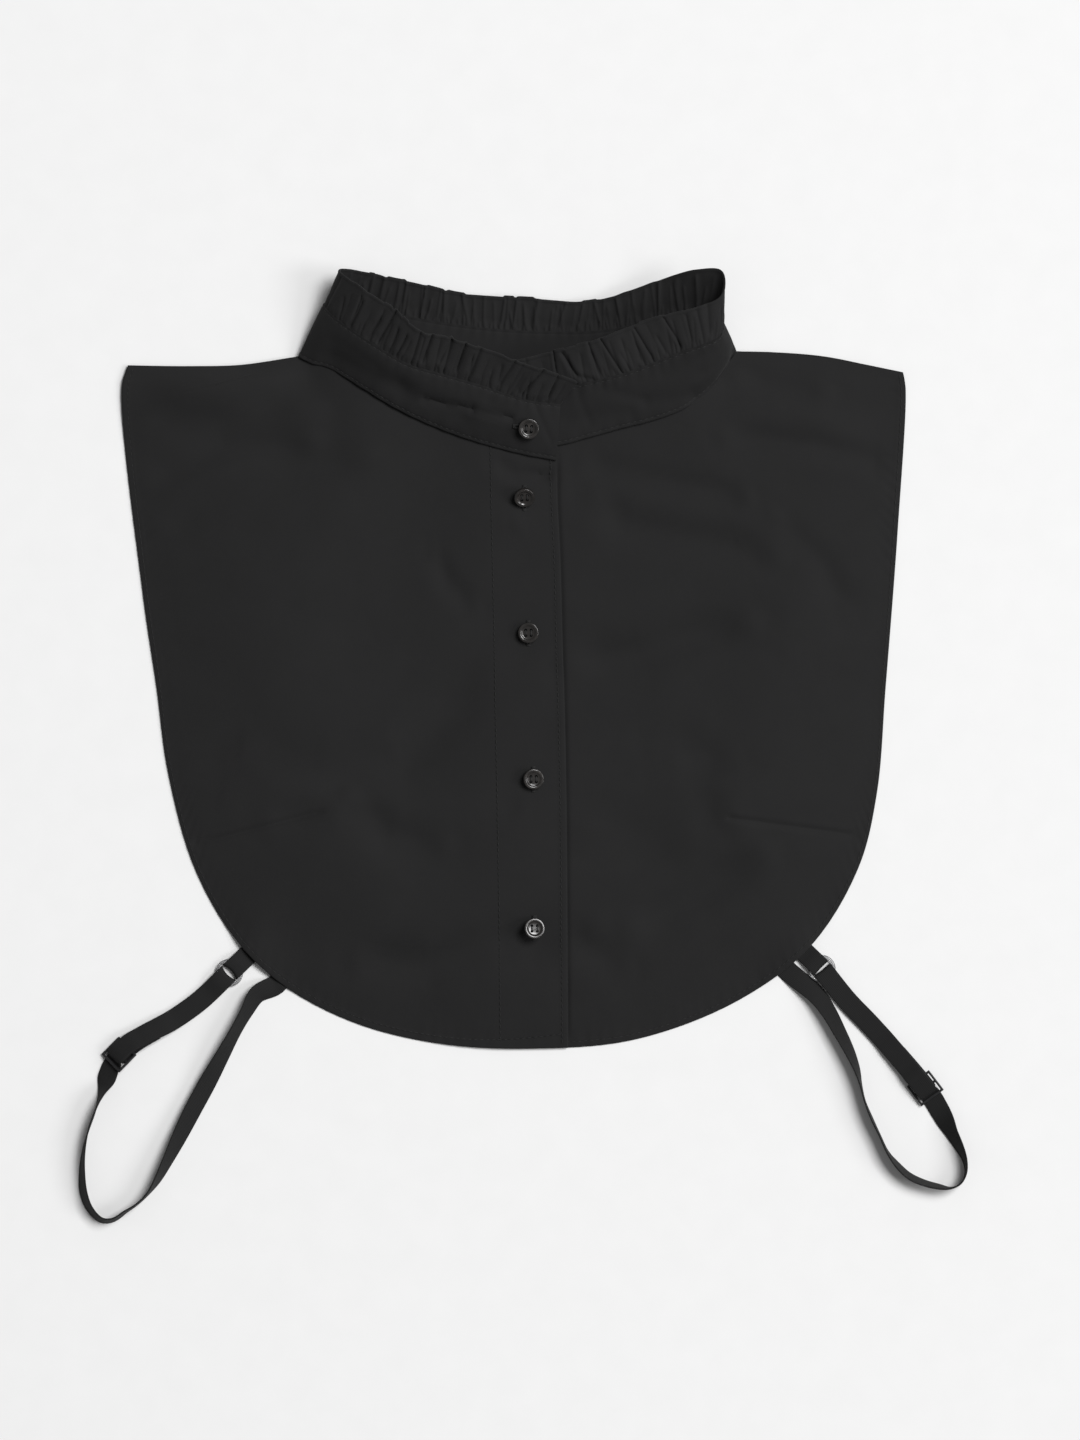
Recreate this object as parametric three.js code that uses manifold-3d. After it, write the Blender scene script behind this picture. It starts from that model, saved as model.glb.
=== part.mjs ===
// A mock collar: a false blouse front and back with a ruffled stand collar.
// It lies flat on its back panel, buttoned up, with an elastic side strap at each lower corner.
// Millimetres. +Z is up, +Y runs from the hem to the collar, and +X is the viewer's right.
import * as THREE from 'three';
import { mergeVertices } from 'three/addons/utils/BufferGeometryUtils.js';
import Module from 'manifold-3d';

const wasm = await Module();
wasm.setup();

// Wall thicknesses and clearances
const CLOTH = 1.0; // one layer of poplin with its turned edges
const BAND = 1.6; // the stand collar is two layers and a stiffener
const FRILL = 1.0;
const GAP = 0.35; // between pieces that are sewn or lie together

// How the front stands off the back
const DOME = 8; // height of the air between the two
const SIDE_RUN = 70; // distance from the side or hem to the full height
const SHOULDER_RUN = 45;
const EDGE_Z = 0.65; // middle of the front's cloth at the hem
const SHOULDER_LIFT = 1.25; // more at the shoulder seam, where it lies on the back
const SHOULDER_LIFT_FROM = 150;
const SHOULDER_LIFT_TO = 180;
const OVERLAP_LIFT = 1.45; // the buttonhole side rides over the button side
const OVERLAP_FROM = -27;
const OVERLAP_TO = -14;
const LIP = 2; // cloth that reaches past the neck seam, under the collar band
const BACK_INSET = 9; // the back is cut smaller at its sides and hem
const BACK_INSET_RUN = 35;

// Buttons and their holes
const BUTTON_R = 5.1;
const BUTTON_HALF = 1.1;
const BUTTON_HOLE_R = 0.75;
const BUTTON_HOLE_AT = 1.35;
const SHANK_R = 0.9;
const BAND_SHANK_DEPTH = 3.6; // through the band's upper end, down to its lower one
const SLIT_LENGTH = 12.5;
const SLIT_WIDTH = 2.6;

// Elastic straps with their rings and sliders
const STRAP_W = 10.2;
const STRAP_T = 0.8;
const RING_R = 6.2;
const WIRE_R = 0.7;
const RING_Z = 1.9;
const FOLD_R = 1.4; // middle of the elastic where it turns round the ring
const FOLD_AT = 2.76; // fold's centre from the ring's centre
const SLIDER_Z = 2.1;
const SLIDER_T = 1.2;
const SLIDER_HALF_W = 7;
const SLIDER_HALF_L = 6.2;
const SLOT_HALF_W = 5.9;
const SLOT_TAPER = 0.15; // each slot is this much narrower at the middle bar
const SLOT_FROM = 0.6;
const SLOT_TO = 5.0;
const TURN_R = 1.5; // middle of the elastic where it turns round the slider's bar
const TAIL = 22;
const LAID_Z = 0.5; // middle of a layer of elastic that lies on the table

const table = (columns, rows) => {
  const names = columns.split(' ');
  return rows.map((row) => Object.fromEntries(names.map((name, i) => [name, row[i]])));
};

// The side and hem outline, from the left shoulder tip round the hem to the right shoulder tip
const OUTLINE = table('x y', [
  [-198.5, 190.5], [-201.6, 180], [-191.2, 77], [-184.2, 29], [-178.5, -13], [-165.2, -61],
  [-144.5, -97], [-119, -121], [-84, -139], [-43, -149], [2.8, -151.5], [55.2, -147],
  [107.8, -127], [144.2, -99], [167.2, -61], [176.4, -24], [180.8, 29], [186.8, 107],
  [190.8, 179], [189.5, 187],
]);

// Collar sections from the buttonhole end, round the back, to the hidden end below it.
// base is the neck seam, seam is where the ruffle starts and frill is its free edge.
// lies says what carries the base: the front panels, or a height above the table.
const COLLAR = table('baseX baseY lies seamX seamY seamZ frillX frillY frillZ bow', [
  [15.8, 142.5, 'over', 17.8, 170.5, 17.5, 26.8, 181, 24, 0.6],
  [-2.2, 146, 'over', 1.2, 172.5, 20, 8.2, 187.5, 27.5, 1.2],
  [-25.8, 152.5, 'over', -20.8, 179.5, 21.5, -14.8, 195.5, 29.5, 1.8],
  [-47.2, 160.5, 'over', -39.8, 185, 23, -34.8, 202.5, 30.5, 2],
  [-65.8, 169.5, 'over', -57.2, 190, 24.5, -51.8, 206.5, 31.5, 2],
  [-82.2, 179.5, 'over', -72.2, 198.5, 24, -65.2, 217, 30, 1.6],
  [-98.2, 189, 'over', -85.8, 207.5, 21, -77.8, 225.5, 27, 1],
  [-107, 191.5, 'over', -95.2, 214.5, 16.5, -86.8, 232.5, 23.5, 0.4],
  [-112.5, 195, 'over', -99.8, 220.5, 11, -91.8, 237.5, 18.5, 0],
  [-106, 197.5, 3.2, -93.2, 221, 6, -86.2, 238, 14, 0],
  [-90, 192, 2.4, -80.2, 219.5, 3.2, -75.2, 235.5, 13, 0],
  [-64.8, 186.5, 2.2, -58.2, 215, 2.6, -55.8, 231.5, 13, 0],
  [-39.8, 182.5, 2.2, -34.8, 211, 2.4, -33.8, 226.5, 14, 0],
  [-14.8, 180, 2.2, -12.2, 208.5, 2.4, -12.2, 224.5, 14.5, 0],
  [10.2, 179, 2.2, 10.2, 207.5, 2.4, 10.2, 223.5, 14.5, 0],
  [33.8, 179.5, 2.2, 31.8, 207.5, 2.8, 31.8, 222.5, 14.5, 0],
  [55.2, 182.5, 2.2, 50.8, 210, 4, 49.2, 226, 15, 0],
  [75.2, 187.5, 2.4, 68.8, 214.5, 7.2, 67.8, 233, 17, 0],
  [91.8, 192, 2.6, 85.8, 217.5, 11.5, 84.2, 237, 19.5, 0],
  [101.5, 197.5, 3.2, 95.8, 215, 16, 94.8, 236.5, 22.5, 0],
  [106.2, 197.5, 'under', 98.8, 210, 20, 98.8, 231, 25, 0],
  [103.8, 191, 'under', 96.8, 204, 22.5, 97.8, 223.5, 27.5, 0.4],
  [95.8, 180, 'under', 88.8, 200, 23.5, 86.2, 218.5, 28.5, 0.8],
  [82.8, 170, 'under', 76.8, 196, 22, 69.8, 214.5, 27, 1],
  [65.2, 163, 'under', 61.8, 190, 20, 53.8, 209, 25, 1],
  [47.8, 158.5, 'under', 45.2, 184.5, 18.5, 37.8, 203, 23.5, 0.8],
  [31.8, 154, 'under', 31.8, 181.5, 16.5, 26.2, 199.5, 21, 0.4],
  [15.8, 150, 'under', 17.8, 178.5, 14, 13.2, 196.5, 18.5, 0],
  [-4.8, 150, 'under', -0.2, 178, 13.5, -4.8, 192.5, 18, 0],
]);
const LEFT_FOLD = 8; // sections where the flattened collar turns back
const RIGHT_FOLD = 20;

// Shoulder seams between the collar's folds and the shoulder tips
const LEFT_SHOULDER = table('x y', [[-142, 190.6], [-167, 190]]);
const RIGHT_SHOULDER = table('x y', [[125.8, 197], [149.8, 195], [172.8, 190.5]]);
const PLACKET = table('x y', [[16.5, 123], [18, 93], [19, 53], [20, 23], [21, -27], [21.8, -151]]);
const UNDERLAP_X = -12.5;

// Soft folds of the front: a ridge or a dent from one point to another
const FOLDS = table('x1 y1 x2 y2 width height', [
  [-164, 176, -108, 156, 9, 1.4],
  [-150, 150, -96, 140, 10, -0.8],
  [-72, 168, -108, 96, 13, 1.2],
  [-46, 140, -70, 60, 14, -0.9],
  [-95, -30, -95, -29, 19, 1.6],
  [-164, -50, -104, -33, 7, -0.9],
  [40, 120, 96, 150, 12, 1.0],
  [150, 160, 178, 138, 9, 1.2],
  [118, 150, 160, 96, 12, -0.8],
  [111, -34, 111, -33, 19, 1.6],
  [168, -44, 118, -35, 7, -0.9],
  [92, -96, 34, -108, 10, -1.1],
  [-120, 40, -60, -90, 18, 0.9],
  [60, 60, 90, -20, 18, 0.8],
]);

// Where an elastic end lifts the front's hem
const LIFTS = table('x y height width', [
  [-137, -104, 2.9, 9], [-127, -113, 1.4, 9], [140.5, -104, 2.9, 9], [130.5, -112, 1.4, 9],
]);

// Buttons from the neck down; the tilts are degrees about X and Y from the cloth's own lie
const BUTTONS = table('x y tiltX tiltY', [
  [1.8, 159, -8, 0], [0, 124, 30, 4], [2, 56.5, 2, -3], [4.5, -16.5, 6, 10], [5, -91, -6, 8],
]);

// Strap routes in plan with the elastic's roll in degrees.
// They run from the ring over the slider and round the loop to the back panel's hem.
const STRAPS = {
  left: {
    tabEnd: { x: -134, y: -100.3 },
    sliderRow: 5,
    hemEnd: { x: -120.8, y: -105.5 },
    route: table('x y roll', [
      [-147.8, -113.5, 0], [-161.8, -127, 4], [-175.5, -137, 10], [-188.2, -144.6, 20],
      [-196.6, -150.1, 25], [-202.2, -155, 25], [-206.8, -160.6, 25], [-210, -170, 66],
      [-214.2, -182.5, 88], [-217.8, -193, 88],
      [-220, -203, 80], [-220.8, -213, 72], [-220.2, -223, 66], [-217.2, -231, 68],
      [-211.8, -236.5, 72], [-205.8, -236.5, 78], [-199.8, -232.5, 82], [-193.8, -228.5, 86],
      [-188.2, -223, 84], [-183.8, -216.5, 72], [-178.8, -207, 60], [-172.8, -195, 44],
      [-166.2, -182, 34], [-159.2, -169, 33], [-152.2, -156, 46], [-145.2, -143, 57],
      [-139.2, -132.5, 52], [-133.8, -124, 30],
    ]),
  },
  right: {
    tabEnd: { x: 137.4, y: -100.5 },
    sliderRow: 4,
    hemEnd: { x: 128, y: -109 },
    route: table('x y roll', [
      [148.8, -111.5, 0], [161.2, -127, 0], [173.2, -139.5, 3], [187.2, -155, 6],
      [200.8, -171, 10], [207.8, -182, 24], [213.2, -192, 50], [217.8, -200.5, 66],
      [220.6, -207, 80], [221.2, -213.5, 90], [218.8, -219, 95], [213.8, -221.5, 92],
      [207.8, -221, 80], [199.8, -219, 76], [192.2, -215.5, 74], [186.2, -210, 76],
      [181.2, -203.5, 84], [177.2, -195, 86], [173.2, -186.5, 84], [169.8, -178, 87],
      [167.8, -170, 84], [165.8, -162, 72], [162.2, -153, 60], [157.2, -143, 50],
      [151.8, -133, 40], [145.2, -124, 24],
    ]),
  },
};

// Materials
const COTTON_COLOUR = 0x1d1c1e;
const material = (color, roughness, metalness = 0) =>
  new THREE.MeshStandardMaterial({ color, roughness, metalness });
const cotton = () => material(COTTON_COLOUR, 0.9);
const elastic = () => material(0x202022, 0.6);
const buttonResin = () => material(0x2a2624, 0.2);
const thread = () => material(0x151515, 0.8);
const ringNylon = () => material(0x77787a, 0.25);
const sliderNylon = () => material(0x121213, 0.3);

// Small mathematical helpers
const clamp01 = (t) => Math.min(Math.max(t, 0), 1);
const mix = (a, b, t) => a + (b - a) * t;
const ramp = (value, from, to) => clamp01((value - from) / (to - from));
const smooth = (t) => t * t * (3 - 2 * t);
const swell = (t) => Math.sin((Math.PI / 2) * Math.min(t, 1));
const bell = (distance, width) => Math.exp(-0.5 * (distance / width) ** 2);
const vec = ({ x, y }, z = 0) => new THREE.Vector3(x, y, z);
const spline = (points) => new THREE.CatmullRomCurve3(points, false, 'centripetal');

function distanceToSegment(x, y, a, b) {
  const dx = b.x - a.x;
  const dy = b.y - a.y;
  const t = clamp01(((x - a.x) * dx + (y - a.y) * dy) / (dx * dx + dy * dy));
  return Math.hypot(x - a.x - t * dx, y - a.y - t * dy);
}

function distanceToLine(x, y, points) {
  let nearest = Infinity;
  for (let i = 1; i < points.length; i += 1) {
    nearest = Math.min(nearest, distanceToSegment(x, y, points[i - 1], points[i]));
  }
  return nearest;
}

// Closed triangle meshes and their cuts
function closedGeometry(positions, triangles) {
  let volume = 0;
  const corner = (i) => new THREE.Vector3().fromArray(positions, 3 * i);
  for (const [a, b, c] of triangles) {
    volume += corner(a).dot(corner(b).cross(corner(c)));
  }
  const order = volume < 0 ? ([a, b, c]) => [a, c, b] : (triangle) => triangle;
  const geometry = new THREE.BufferGeometry();
  geometry.setAttribute('position', new THREE.Float32BufferAttribute(positions, 3));
  geometry.setIndex(triangles.flatMap(order));
  return geometry;
}

function weld(source) {
  const geometry = source.clone();
  geometry.deleteAttribute('normal');
  geometry.deleteAttribute('uv');
  const merged = mergeVertices(geometry, 1e-4);
  const index = merged.index.array;
  const triangles = [];
  for (let i = 0; i < index.length; i += 3) {
    const [a, b, c] = [index[i], index[i + 1], index[i + 2]];
    if (a !== b && b !== c && c !== a) triangles.push([a, b, c]);
  }
  return closedGeometry([...merged.attributes.position.array], triangles);
}

function toManifold(geometry) {
  return new wasm.Manifold(new wasm.Mesh({
    numProp: 3,
    vertProperties: new Float32Array(geometry.attributes.position.array),
    triVerts: new Uint32Array(geometry.index.array),
  }));
}

function cutAll(geometry, cutters) {
  let body = toManifold(geometry);
  for (const cutter of cutters) {
    body = body.subtract(toManifold(weld(cutter)));
  }
  const mesh = body.getMesh();
  const result = new THREE.BufferGeometry();
  result.setAttribute('position', new THREE.Float32BufferAttribute(mesh.vertProperties, 3));
  result.setIndex([...mesh.triVerts]);
  return result;
}

// A wall of even thickness about a grid of points, grid[column][row]
function wallGeometry(grid, thickness) {
  const columns = grid.length;
  const rows = grid[0].length;
  const positions = [];
  for (const face of [0.5, -0.5]) {
    for (let i = 0; i < columns; i += 1) {
      for (let j = 0; j < rows; j += 1) {
        const along = grid[Math.min(i + 1, columns - 1)][j].clone().sub(grid[Math.max(i - 1, 0)][j]);
        const up = grid[i][Math.min(j + 1, rows - 1)].clone().sub(grid[i][Math.max(j - 1, 0)]);
        const normal = along.cross(up).normalize();
        positions.push(...grid[i][j].clone().addScaledVector(normal, face * thickness).toArray());
      }
    }
  }
  const at = (i, j, face) => face * columns * rows + i * rows + j;
  const triangles = [];
  const quad = (a, b, c, d) => triangles.push([a, b, c], [a, c, d]);
  for (let i = 0; i < columns - 1; i += 1) {
    for (let j = 0; j < rows - 1; j += 1) {
      quad(at(i, j, 0), at(i + 1, j, 0), at(i + 1, j + 1, 0), at(i, j + 1, 0));
      quad(at(i, j, 1), at(i, j + 1, 1), at(i + 1, j + 1, 1), at(i + 1, j, 1));
    }
    quad(at(i, 0, 1), at(i + 1, 0, 1), at(i + 1, 0, 0), at(i, 0, 0));
    quad(at(i, rows - 1, 0), at(i + 1, rows - 1, 0), at(i + 1, rows - 1, 1), at(i, rows - 1, 1));
  }
  for (let j = 0; j < rows - 1; j += 1) {
    const end = columns - 1;
    quad(at(0, j, 0), at(0, j + 1, 0), at(0, j + 1, 1), at(0, j, 1));
    quad(at(end, j, 1), at(end, j + 1, 1), at(end, j + 1, 0), at(end, j, 0));
  }
  return closedGeometry(positions, triangles);
}

// The front's surface
const sideHem = spline(OUTLINE.map((p) => vec(p)));
const OUTLINE_STEPS = 120;
const sideHemLine = sideHem.getSpacedPoints(OUTLINE_STEPS);
const collarBase = COLLAR.map((row) => new THREE.Vector3(row.baseX, row.baseY, 0));
const leftShoulder = [collarBase[LEFT_FOLD], ...LEFT_SHOULDER.map((p) => vec(p)), vec(OUTLINE[0])];
const rightShoulder = [
  collarBase[RIGHT_FOLD], ...RIGHT_SHOULDER.map((p) => vec(p)), vec(OUTLINE[OUTLINE.length - 1]),
];

function frontHeight(x, y) {
  const inFromSide = distanceToLine(x, y, sideHemLine);
  const inFromShoulder = Math.min(
    distanceToLine(x, y, leftShoulder), distanceToLine(x, y, rightShoulder));
  const fullness = swell(inFromSide / SIDE_RUN) * swell(inFromShoulder / SHOULDER_RUN);
  let z = EDGE_Z + SHOULDER_LIFT * ramp(y, SHOULDER_LIFT_FROM, SHOULDER_LIFT_TO) + DOME * fullness;
  for (const { x1, y1, x2, y2, width, height } of FOLDS) {
    const away = distanceToSegment(x, y, { x: x1, y: y1 }, { x: x2, y: y2 });
    z += height * bell(away, width) * fullness;
  }
  for (const lift of LIFTS) {
    z += lift.height * bell(Math.hypot(x - lift.x, y - lift.y), lift.width);
  }
  return z;
}
const overlapLift = (x) => OVERLAP_LIFT * ramp(x, OVERLAP_FROM, OVERLAP_TO);

// A front panel is a fan of columns from the neckline out to the side and hem
const FAN_ROWS = 16;
const FAN_COLUMNS = 20; // besides the ones that follow the placket
const FAN_CROWDING = 1.5; // rows crowd towards the hem
const PLACKET_COLUMNS = [49, 36, 24, 12, 0]; // distances from the centre edge
const TAB_DENSITY = 2.6;
const TAB_REACH = 24;
const EDGE_HOLD = 8; // how soon the columns let go of the shoulder's and the placket's own curve

// Distances from the shoulder along an edge, with more columns near the strap's tab
function columnStops(length, tabAt) {
  const fanLength = length - PLACKET_COLUMNS[0];
  const steps = 200;
  const sums = [0];
  for (let i = 1; i <= steps; i += 1) {
    const s = (fanLength * (i - 0.5)) / steps;
    const crowd = tabAt === null ? 0 : TAB_DENSITY * Math.exp(-(((s - tabAt) / TAB_REACH) ** 2));
    sums.push(sums[i - 1] + 1 + crowd);
  }
  const stops = [];
  for (let column = 0; column < FAN_COLUMNS; column += 1) {
    const wanted = (sums[steps] * column) / FAN_COLUMNS;
    const i = sums.findIndex((sum) => sum >= wanted);
    stops.push((fanLength * i) / steps);
  }
  return [...stops, ...PLACKET_COLUMNS.map((distance) => length - distance)];
}

// How far along an edge the point nearest to a target lies
function stopNearest(curve, target) {
  const points = curve.getSpacedPoints(2 * OUTLINE_STEPS);
  const gaps = points.map((p) => Math.hypot(p.x - target.x, p.y - target.y));
  return (curve.getLength() * gaps.indexOf(Math.min(...gaps))) / (2 * OUTLINE_STEPS);
}

function panelGeometry({ neckline, outer, shoulder, centre, tab, lift }) {
  const outerStops = columnStops(outer.getLength(), stopNearest(outer, tab));
  const neckStops = columnStops(neckline.getLength(), null);
  const last = outerStops.length - 1;
  const grid = outerStops.map((outerStop, i) => {
    const from = neckline.getPointAt(clamp01(neckStops[i] / neckline.getLength()));
    const to = outer.getPointAt(clamp01(outerStop / outer.getLength()));
    return Array.from({ length: FAN_ROWS + 1 }, (_, j) => {
      const v = 1 - (1 - j / FAN_ROWS) ** FAN_CROWDING;
      const point = from.clone().lerp(to, v);
      const follow = (edge, weight) => {
        const chord = edge.getPoint(0).lerp(edge.getPoint(1), v);
        point.addScaledVector(edge.getPointAt(v).sub(chord), weight);
      };
      follow(shoulder, (1 - i / last) ** EDGE_HOLD);
      follow(centre, (i / last) ** EDGE_HOLD);
      point.z = frontHeight(point.x, point.y) + lift(point.x);
      return point;
    });
  });
  return wallGeometry(grid, CLOTH);
}

// A neckline follows the collar's base and reaches under it by the lip
function neckPoints(from, to, taperFrom, taperTo) {
  const rows = COLLAR.slice(from, to + 1);
  return rows.map((row, k) => {
    const base = new THREE.Vector3(row.baseX, row.baseY, 0);
    const up = new THREE.Vector3(row.seamX, row.seamY, 0).sub(base).normalize();
    const atEnd = (taperFrom && k === 0) || (taperTo && k === rows.length - 1);
    return base.addScaledVector(up, atEnd ? 0 : LIP);
  });
}

// The outline from one shoulder tip round to where the panel ends at the hem
function partOfOutline(startsLeft, centreX) {
  const points = sideHem.getSpacedPoints(2 * OUTLINE_STEPS);
  if (!startsLeft) points.reverse();
  const end = points.findIndex((p) => p.y < 0 && (startsLeft ? p.x > centreX : p.x < centreX));
  const [before, after] = [points[end - 1], points[end]];
  const t = (centreX - before.x) / (after.x - before.x);
  return new THREE.CatmullRomCurve3([...points.slice(0, end - 1), before.clone().lerp(after, t)]);
}

function slitShape() {
  const half = SLIT_LENGTH / 2;
  const shape = new THREE.Shape();
  shape.moveTo(0, -half);
  shape.quadraticCurveTo(SLIT_WIDTH, 0, 0, half);
  shape.quadraticCurveTo(-SLIT_WIDTH, 0, 0, -half);
  return shape;
}

function slitCutter() {
  const depth = 8;
  const geometry = new THREE.ExtrudeGeometry(slitShape(), { depth, bevelEnabled: false, curveSegments: 4 });
  return geometry.translate(0, 0, -depth / 2);
}

function leftFrontPanel() {
  const neckline = spline(neckPoints(0, LEFT_FOLD, false, true).reverse());
  const outer = partOfOutline(true, PLACKET[PLACKET.length - 1].x);
  const geometry = panelGeometry({
    neckline,
    outer,
    shoulder: spline(leftShoulder),
    centre: spline([
      neckline.getPoint(1), ...PLACKET.slice(0, -1).map((p) => vec(p)), outer.getPoint(1),
    ]),
    tab: LIFTS[0],
    lift: overlapLift,
  });
  const slits = BUTTONS.slice(1).map(({ x, y }) =>
    slitCutter().translate(x, y, frontHeight(x, y) + OVERLAP_LIFT));
  return cutAll(geometry, slits);
}

function rightFrontPanel() {
  const last = COLLAR.length - 1;
  const neck = neckPoints(RIGHT_FOLD, last, true, false);
  neck.push(new THREE.Vector3(UNDERLAP_X, neck[neck.length - 1].y + 0.3, 0));
  const neckline = spline(neck);
  const outer = partOfOutline(false, UNDERLAP_X);
  return panelGeometry({
    neckline,
    outer,
    shoulder: spline(rightShoulder),
    centre: new THREE.LineCurve3(neckline.getPoint(1), outer.getPoint(1)),
    tab: LIFTS[2],
    lift: () => 0,
  });
}

// The back panel is flat on the table, cut smaller than the front at the sides and hem
function backOutline() {
  const steps = 64;
  const points = [];
  for (let i = 0; i <= steps; i += 1) {
    const point = sideHem.getPointAt(i / steps);
    const tangent = sideHem.getTangentAt(i / steps);
    const tipY = i < steps / 2 ? OUTLINE[0].y : OUTLINE[OUTLINE.length - 1].y;
    const inset = BACK_INSET * smooth(clamp01((tipY - point.y) / BACK_INSET_RUN));
    points.push(new THREE.Vector3(point.x - tangent.y * inset, point.y + tangent.x * inset, 0));
  }
  return points;
}

function backPanel() {
  const outline = [
    ...backOutline(),
    ...rightShoulder.slice(0, -1).reverse(),
    ...neckPoints(LEFT_FOLD + 1, RIGHT_FOLD - 1, false, false).reverse(),
    ...leftShoulder.slice(0, -1),
  ];
  const shape = new THREE.Shape(outline.map(({ x, y }) => new THREE.Vector2(x, y)));
  return weld(new THREE.ExtrudeGeometry(shape, { depth: CLOTH, bevelEnabled: false }));
}

// Collar band and ruffle
const BASE_LEAD = 8; // the stiff band starts to climb this far before the overlap does
function baseHeight({ baseX, baseY, lies }) {
  if (typeof lies === 'number') return lies;
  const lift = lies === 'over' ? overlapLift(baseX + BASE_LEAD) : 0;
  return frontHeight(baseX, baseY) + lift + CLOTH / 2 + GAP + BAND / 2;
}
const baseCurve = spline(COLLAR.map((row) => new THREE.Vector3(row.baseX, row.baseY, baseHeight(row))));
const seamCurve = spline(COLLAR.map((row) => new THREE.Vector3(row.seamX, row.seamY, row.seamZ)));
const frillCurve = spline(COLLAR.map((row) => new THREE.Vector3(row.frillX, row.frillY, row.frillZ)));

function bowAt(t) {
  const at = t * (COLLAR.length - 1);
  const i = Math.min(Math.floor(at), COLLAR.length - 2);
  return mix(COLLAR[i].bow, COLLAR[i + 1].bow, at - i);
}

// The outward direction of the collar between two of its edges
function outwardAt(lower, upper, t) {
  const up = upper.getPoint(t).sub(lower.getPoint(t));
  return up.cross(seamCurve.getTangent(t)).normalize();
}

function bandPoint(t, v) {
  const bulge = bowAt(t) * 4 * v * (1 - v);
  const point = baseCurve.getPoint(t).lerp(seamCurve.getPoint(t), v);
  return point.addScaledVector(outwardAt(baseCurve, seamCurve, t), bulge);
}

const BAND_ROWS = 4;
const BAND_COLUMN = 9; // length of a column along the ruffle seam
function bandGeometry() {
  const stops = [0];
  const last = COLLAR.length - 1;
  for (let i = 0; i < last; i += 1) {
    const length = seamCurve.getPoint(i / last).distanceTo(seamCurve.getPoint((i + 1) / last));
    const parts = Math.max(2, Math.round(length / BAND_COLUMN));
    for (let k = 1; k <= parts; k += 1) stops.push((i + k / parts) / last);
  }
  const grid = stops.map((t) =>
    Array.from({ length: BAND_ROWS + 1 }, (_, j) => bandPoint(t, j / BAND_ROWS)));
  return wallGeometry(grid, BAND);
}

// Where a point in plan lies on the buttonhole end of the band, and the cloth's frame there
function bandFrame(x, y) {
  let best = null;
  const reach = 3 / (COLLAR.length - 1);
  for (let i = 0; i <= 120; i += 1) {
    for (let j = 0; j <= 60; j += 1) {
      const t = (reach * i) / 120;
      const v = j / 60;
      const point = bandPoint(t, v);
      const away = Math.hypot(point.x - x, point.y - y);
      if (!best || away < best.away) best = { t, v, point, away };
    }
  }
  const up = bandPoint(best.t, best.v + 0.02).sub(bandPoint(best.t, best.v - 0.02)).normalize();
  const normal = outwardAt(baseCurve, seamCurve, best.t);
  const out = normal.clone().addScaledVector(up, -normal.dot(up)).normalize();
  return { point: best.point, up, out, side: up.clone().cross(out) };
}

function collarBand() {
  const { point, up, out, side } = bandFrame(BUTTONS[0].x, BUTTONS[0].y);
  // This slit lies along the band, so its long way is turned from up to side.
  const place = new THREE.Matrix4().makeBasis(up.clone().negate(), side, out).setPosition(point);
  return cutAll(bandGeometry(), [slitCutter().applyMatrix4(place)]);
}

const GATHER = 7.5; // mean length of one gather along the seam
const GATHER_UNEVEN = 1.5;
const GATHER_DEPTH = 1.4;
const GATHER_COLUMNS = 4;
const FRILL_ROWS = 2;
function collarRuffle() {
  const steps = 600;
  const lengths = seamCurve.getLengths(steps);
  const total = lengths[steps];
  const parameterAt = (s) => {
    const i = Math.min(Math.max(lengths.findIndex((value) => value >= s), 1), steps);
    const t = (s - lengths[i - 1]) / (lengths[i] - lengths[i - 1]);
    return clamp01((i - 1 + t) / steps);
  };
  const gathers = Math.round(total / GATHER);
  const even = total / gathers;
  const foldAt = (k) => even * k + (k > 0 && k < gathers ? GATHER_UNEVEN * Math.sin(2.4 * k) : 0);
  const grid = [];
  for (let c = 0; c <= gathers * GATHER_COLUMNS; c += 1) {
    const k = Math.floor(c / GATHER_COLUMNS);
    const part = (c % GATHER_COLUMNS) / GATHER_COLUMNS;
    const t = parameterAt(part === 0 ? foldAt(k) : mix(foldAt(k), foldAt(k + 1), part));
    const seam = seamCurve.getPoint(t);
    const edge = frillCurve.getPoint(t);
    const bandUp = seam.clone().sub(bandPoint(t, 1 - 1 / BAND_ROWS));
    const kink = bandUp.angleTo(edge.clone().sub(seam));
    const clearance = GAP + ((BAND + FRILL) / 2) * Math.tan(kink / 2);
    const start = seam.clone().add(edge.clone().sub(seam).setLength(clearance));
    const outward = outwardAt(seamCurve, frillCurve, t);
    const wave = Math.sin(2 * Math.PI * part) * (0.75 + 0.25 * Math.sin(1.7 * k));
    grid.push(Array.from({ length: FRILL_ROWS + 1 }, (_, j) => {
      const v = j / FRILL_ROWS;
      return start.clone().lerp(edge, v).addScaledVector(outward, GATHER_DEPTH * v * wave);
    }));
  }
  return wallGeometry(grid, FRILL);
}

// Buttons with four holes and a thread shank each
function buttonGeometry() {
  const profile = [
    [0, -BUTTON_HALF], [3.4, -BUTTON_HALF], [4.7, -0.5], [BUTTON_R, 0.2],
    [4.75, 0.95], [4.1, BUTTON_HALF], [3.3, 0.5], [0, 0.35],
  ].map(([r, z]) => new THREE.Vector2(r, z));
  const disc = weld(new THREE.LatheGeometry(profile, 14)).rotateX(Math.PI / 2);
  const holes = [];
  for (const sx of [-1, 1]) {
    for (const sy of [-1, 1]) {
      const hole = new THREE.CylinderGeometry(BUTTON_HOLE_R, BUTTON_HOLE_R, 4, 6);
      holes.push(hole.rotateX(Math.PI / 2).translate(sx * BUTTON_HOLE_AT, sy * BUTTON_HOLE_AT, 0));
    }
  }
  return cutAll(disc, holes);
}

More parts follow.
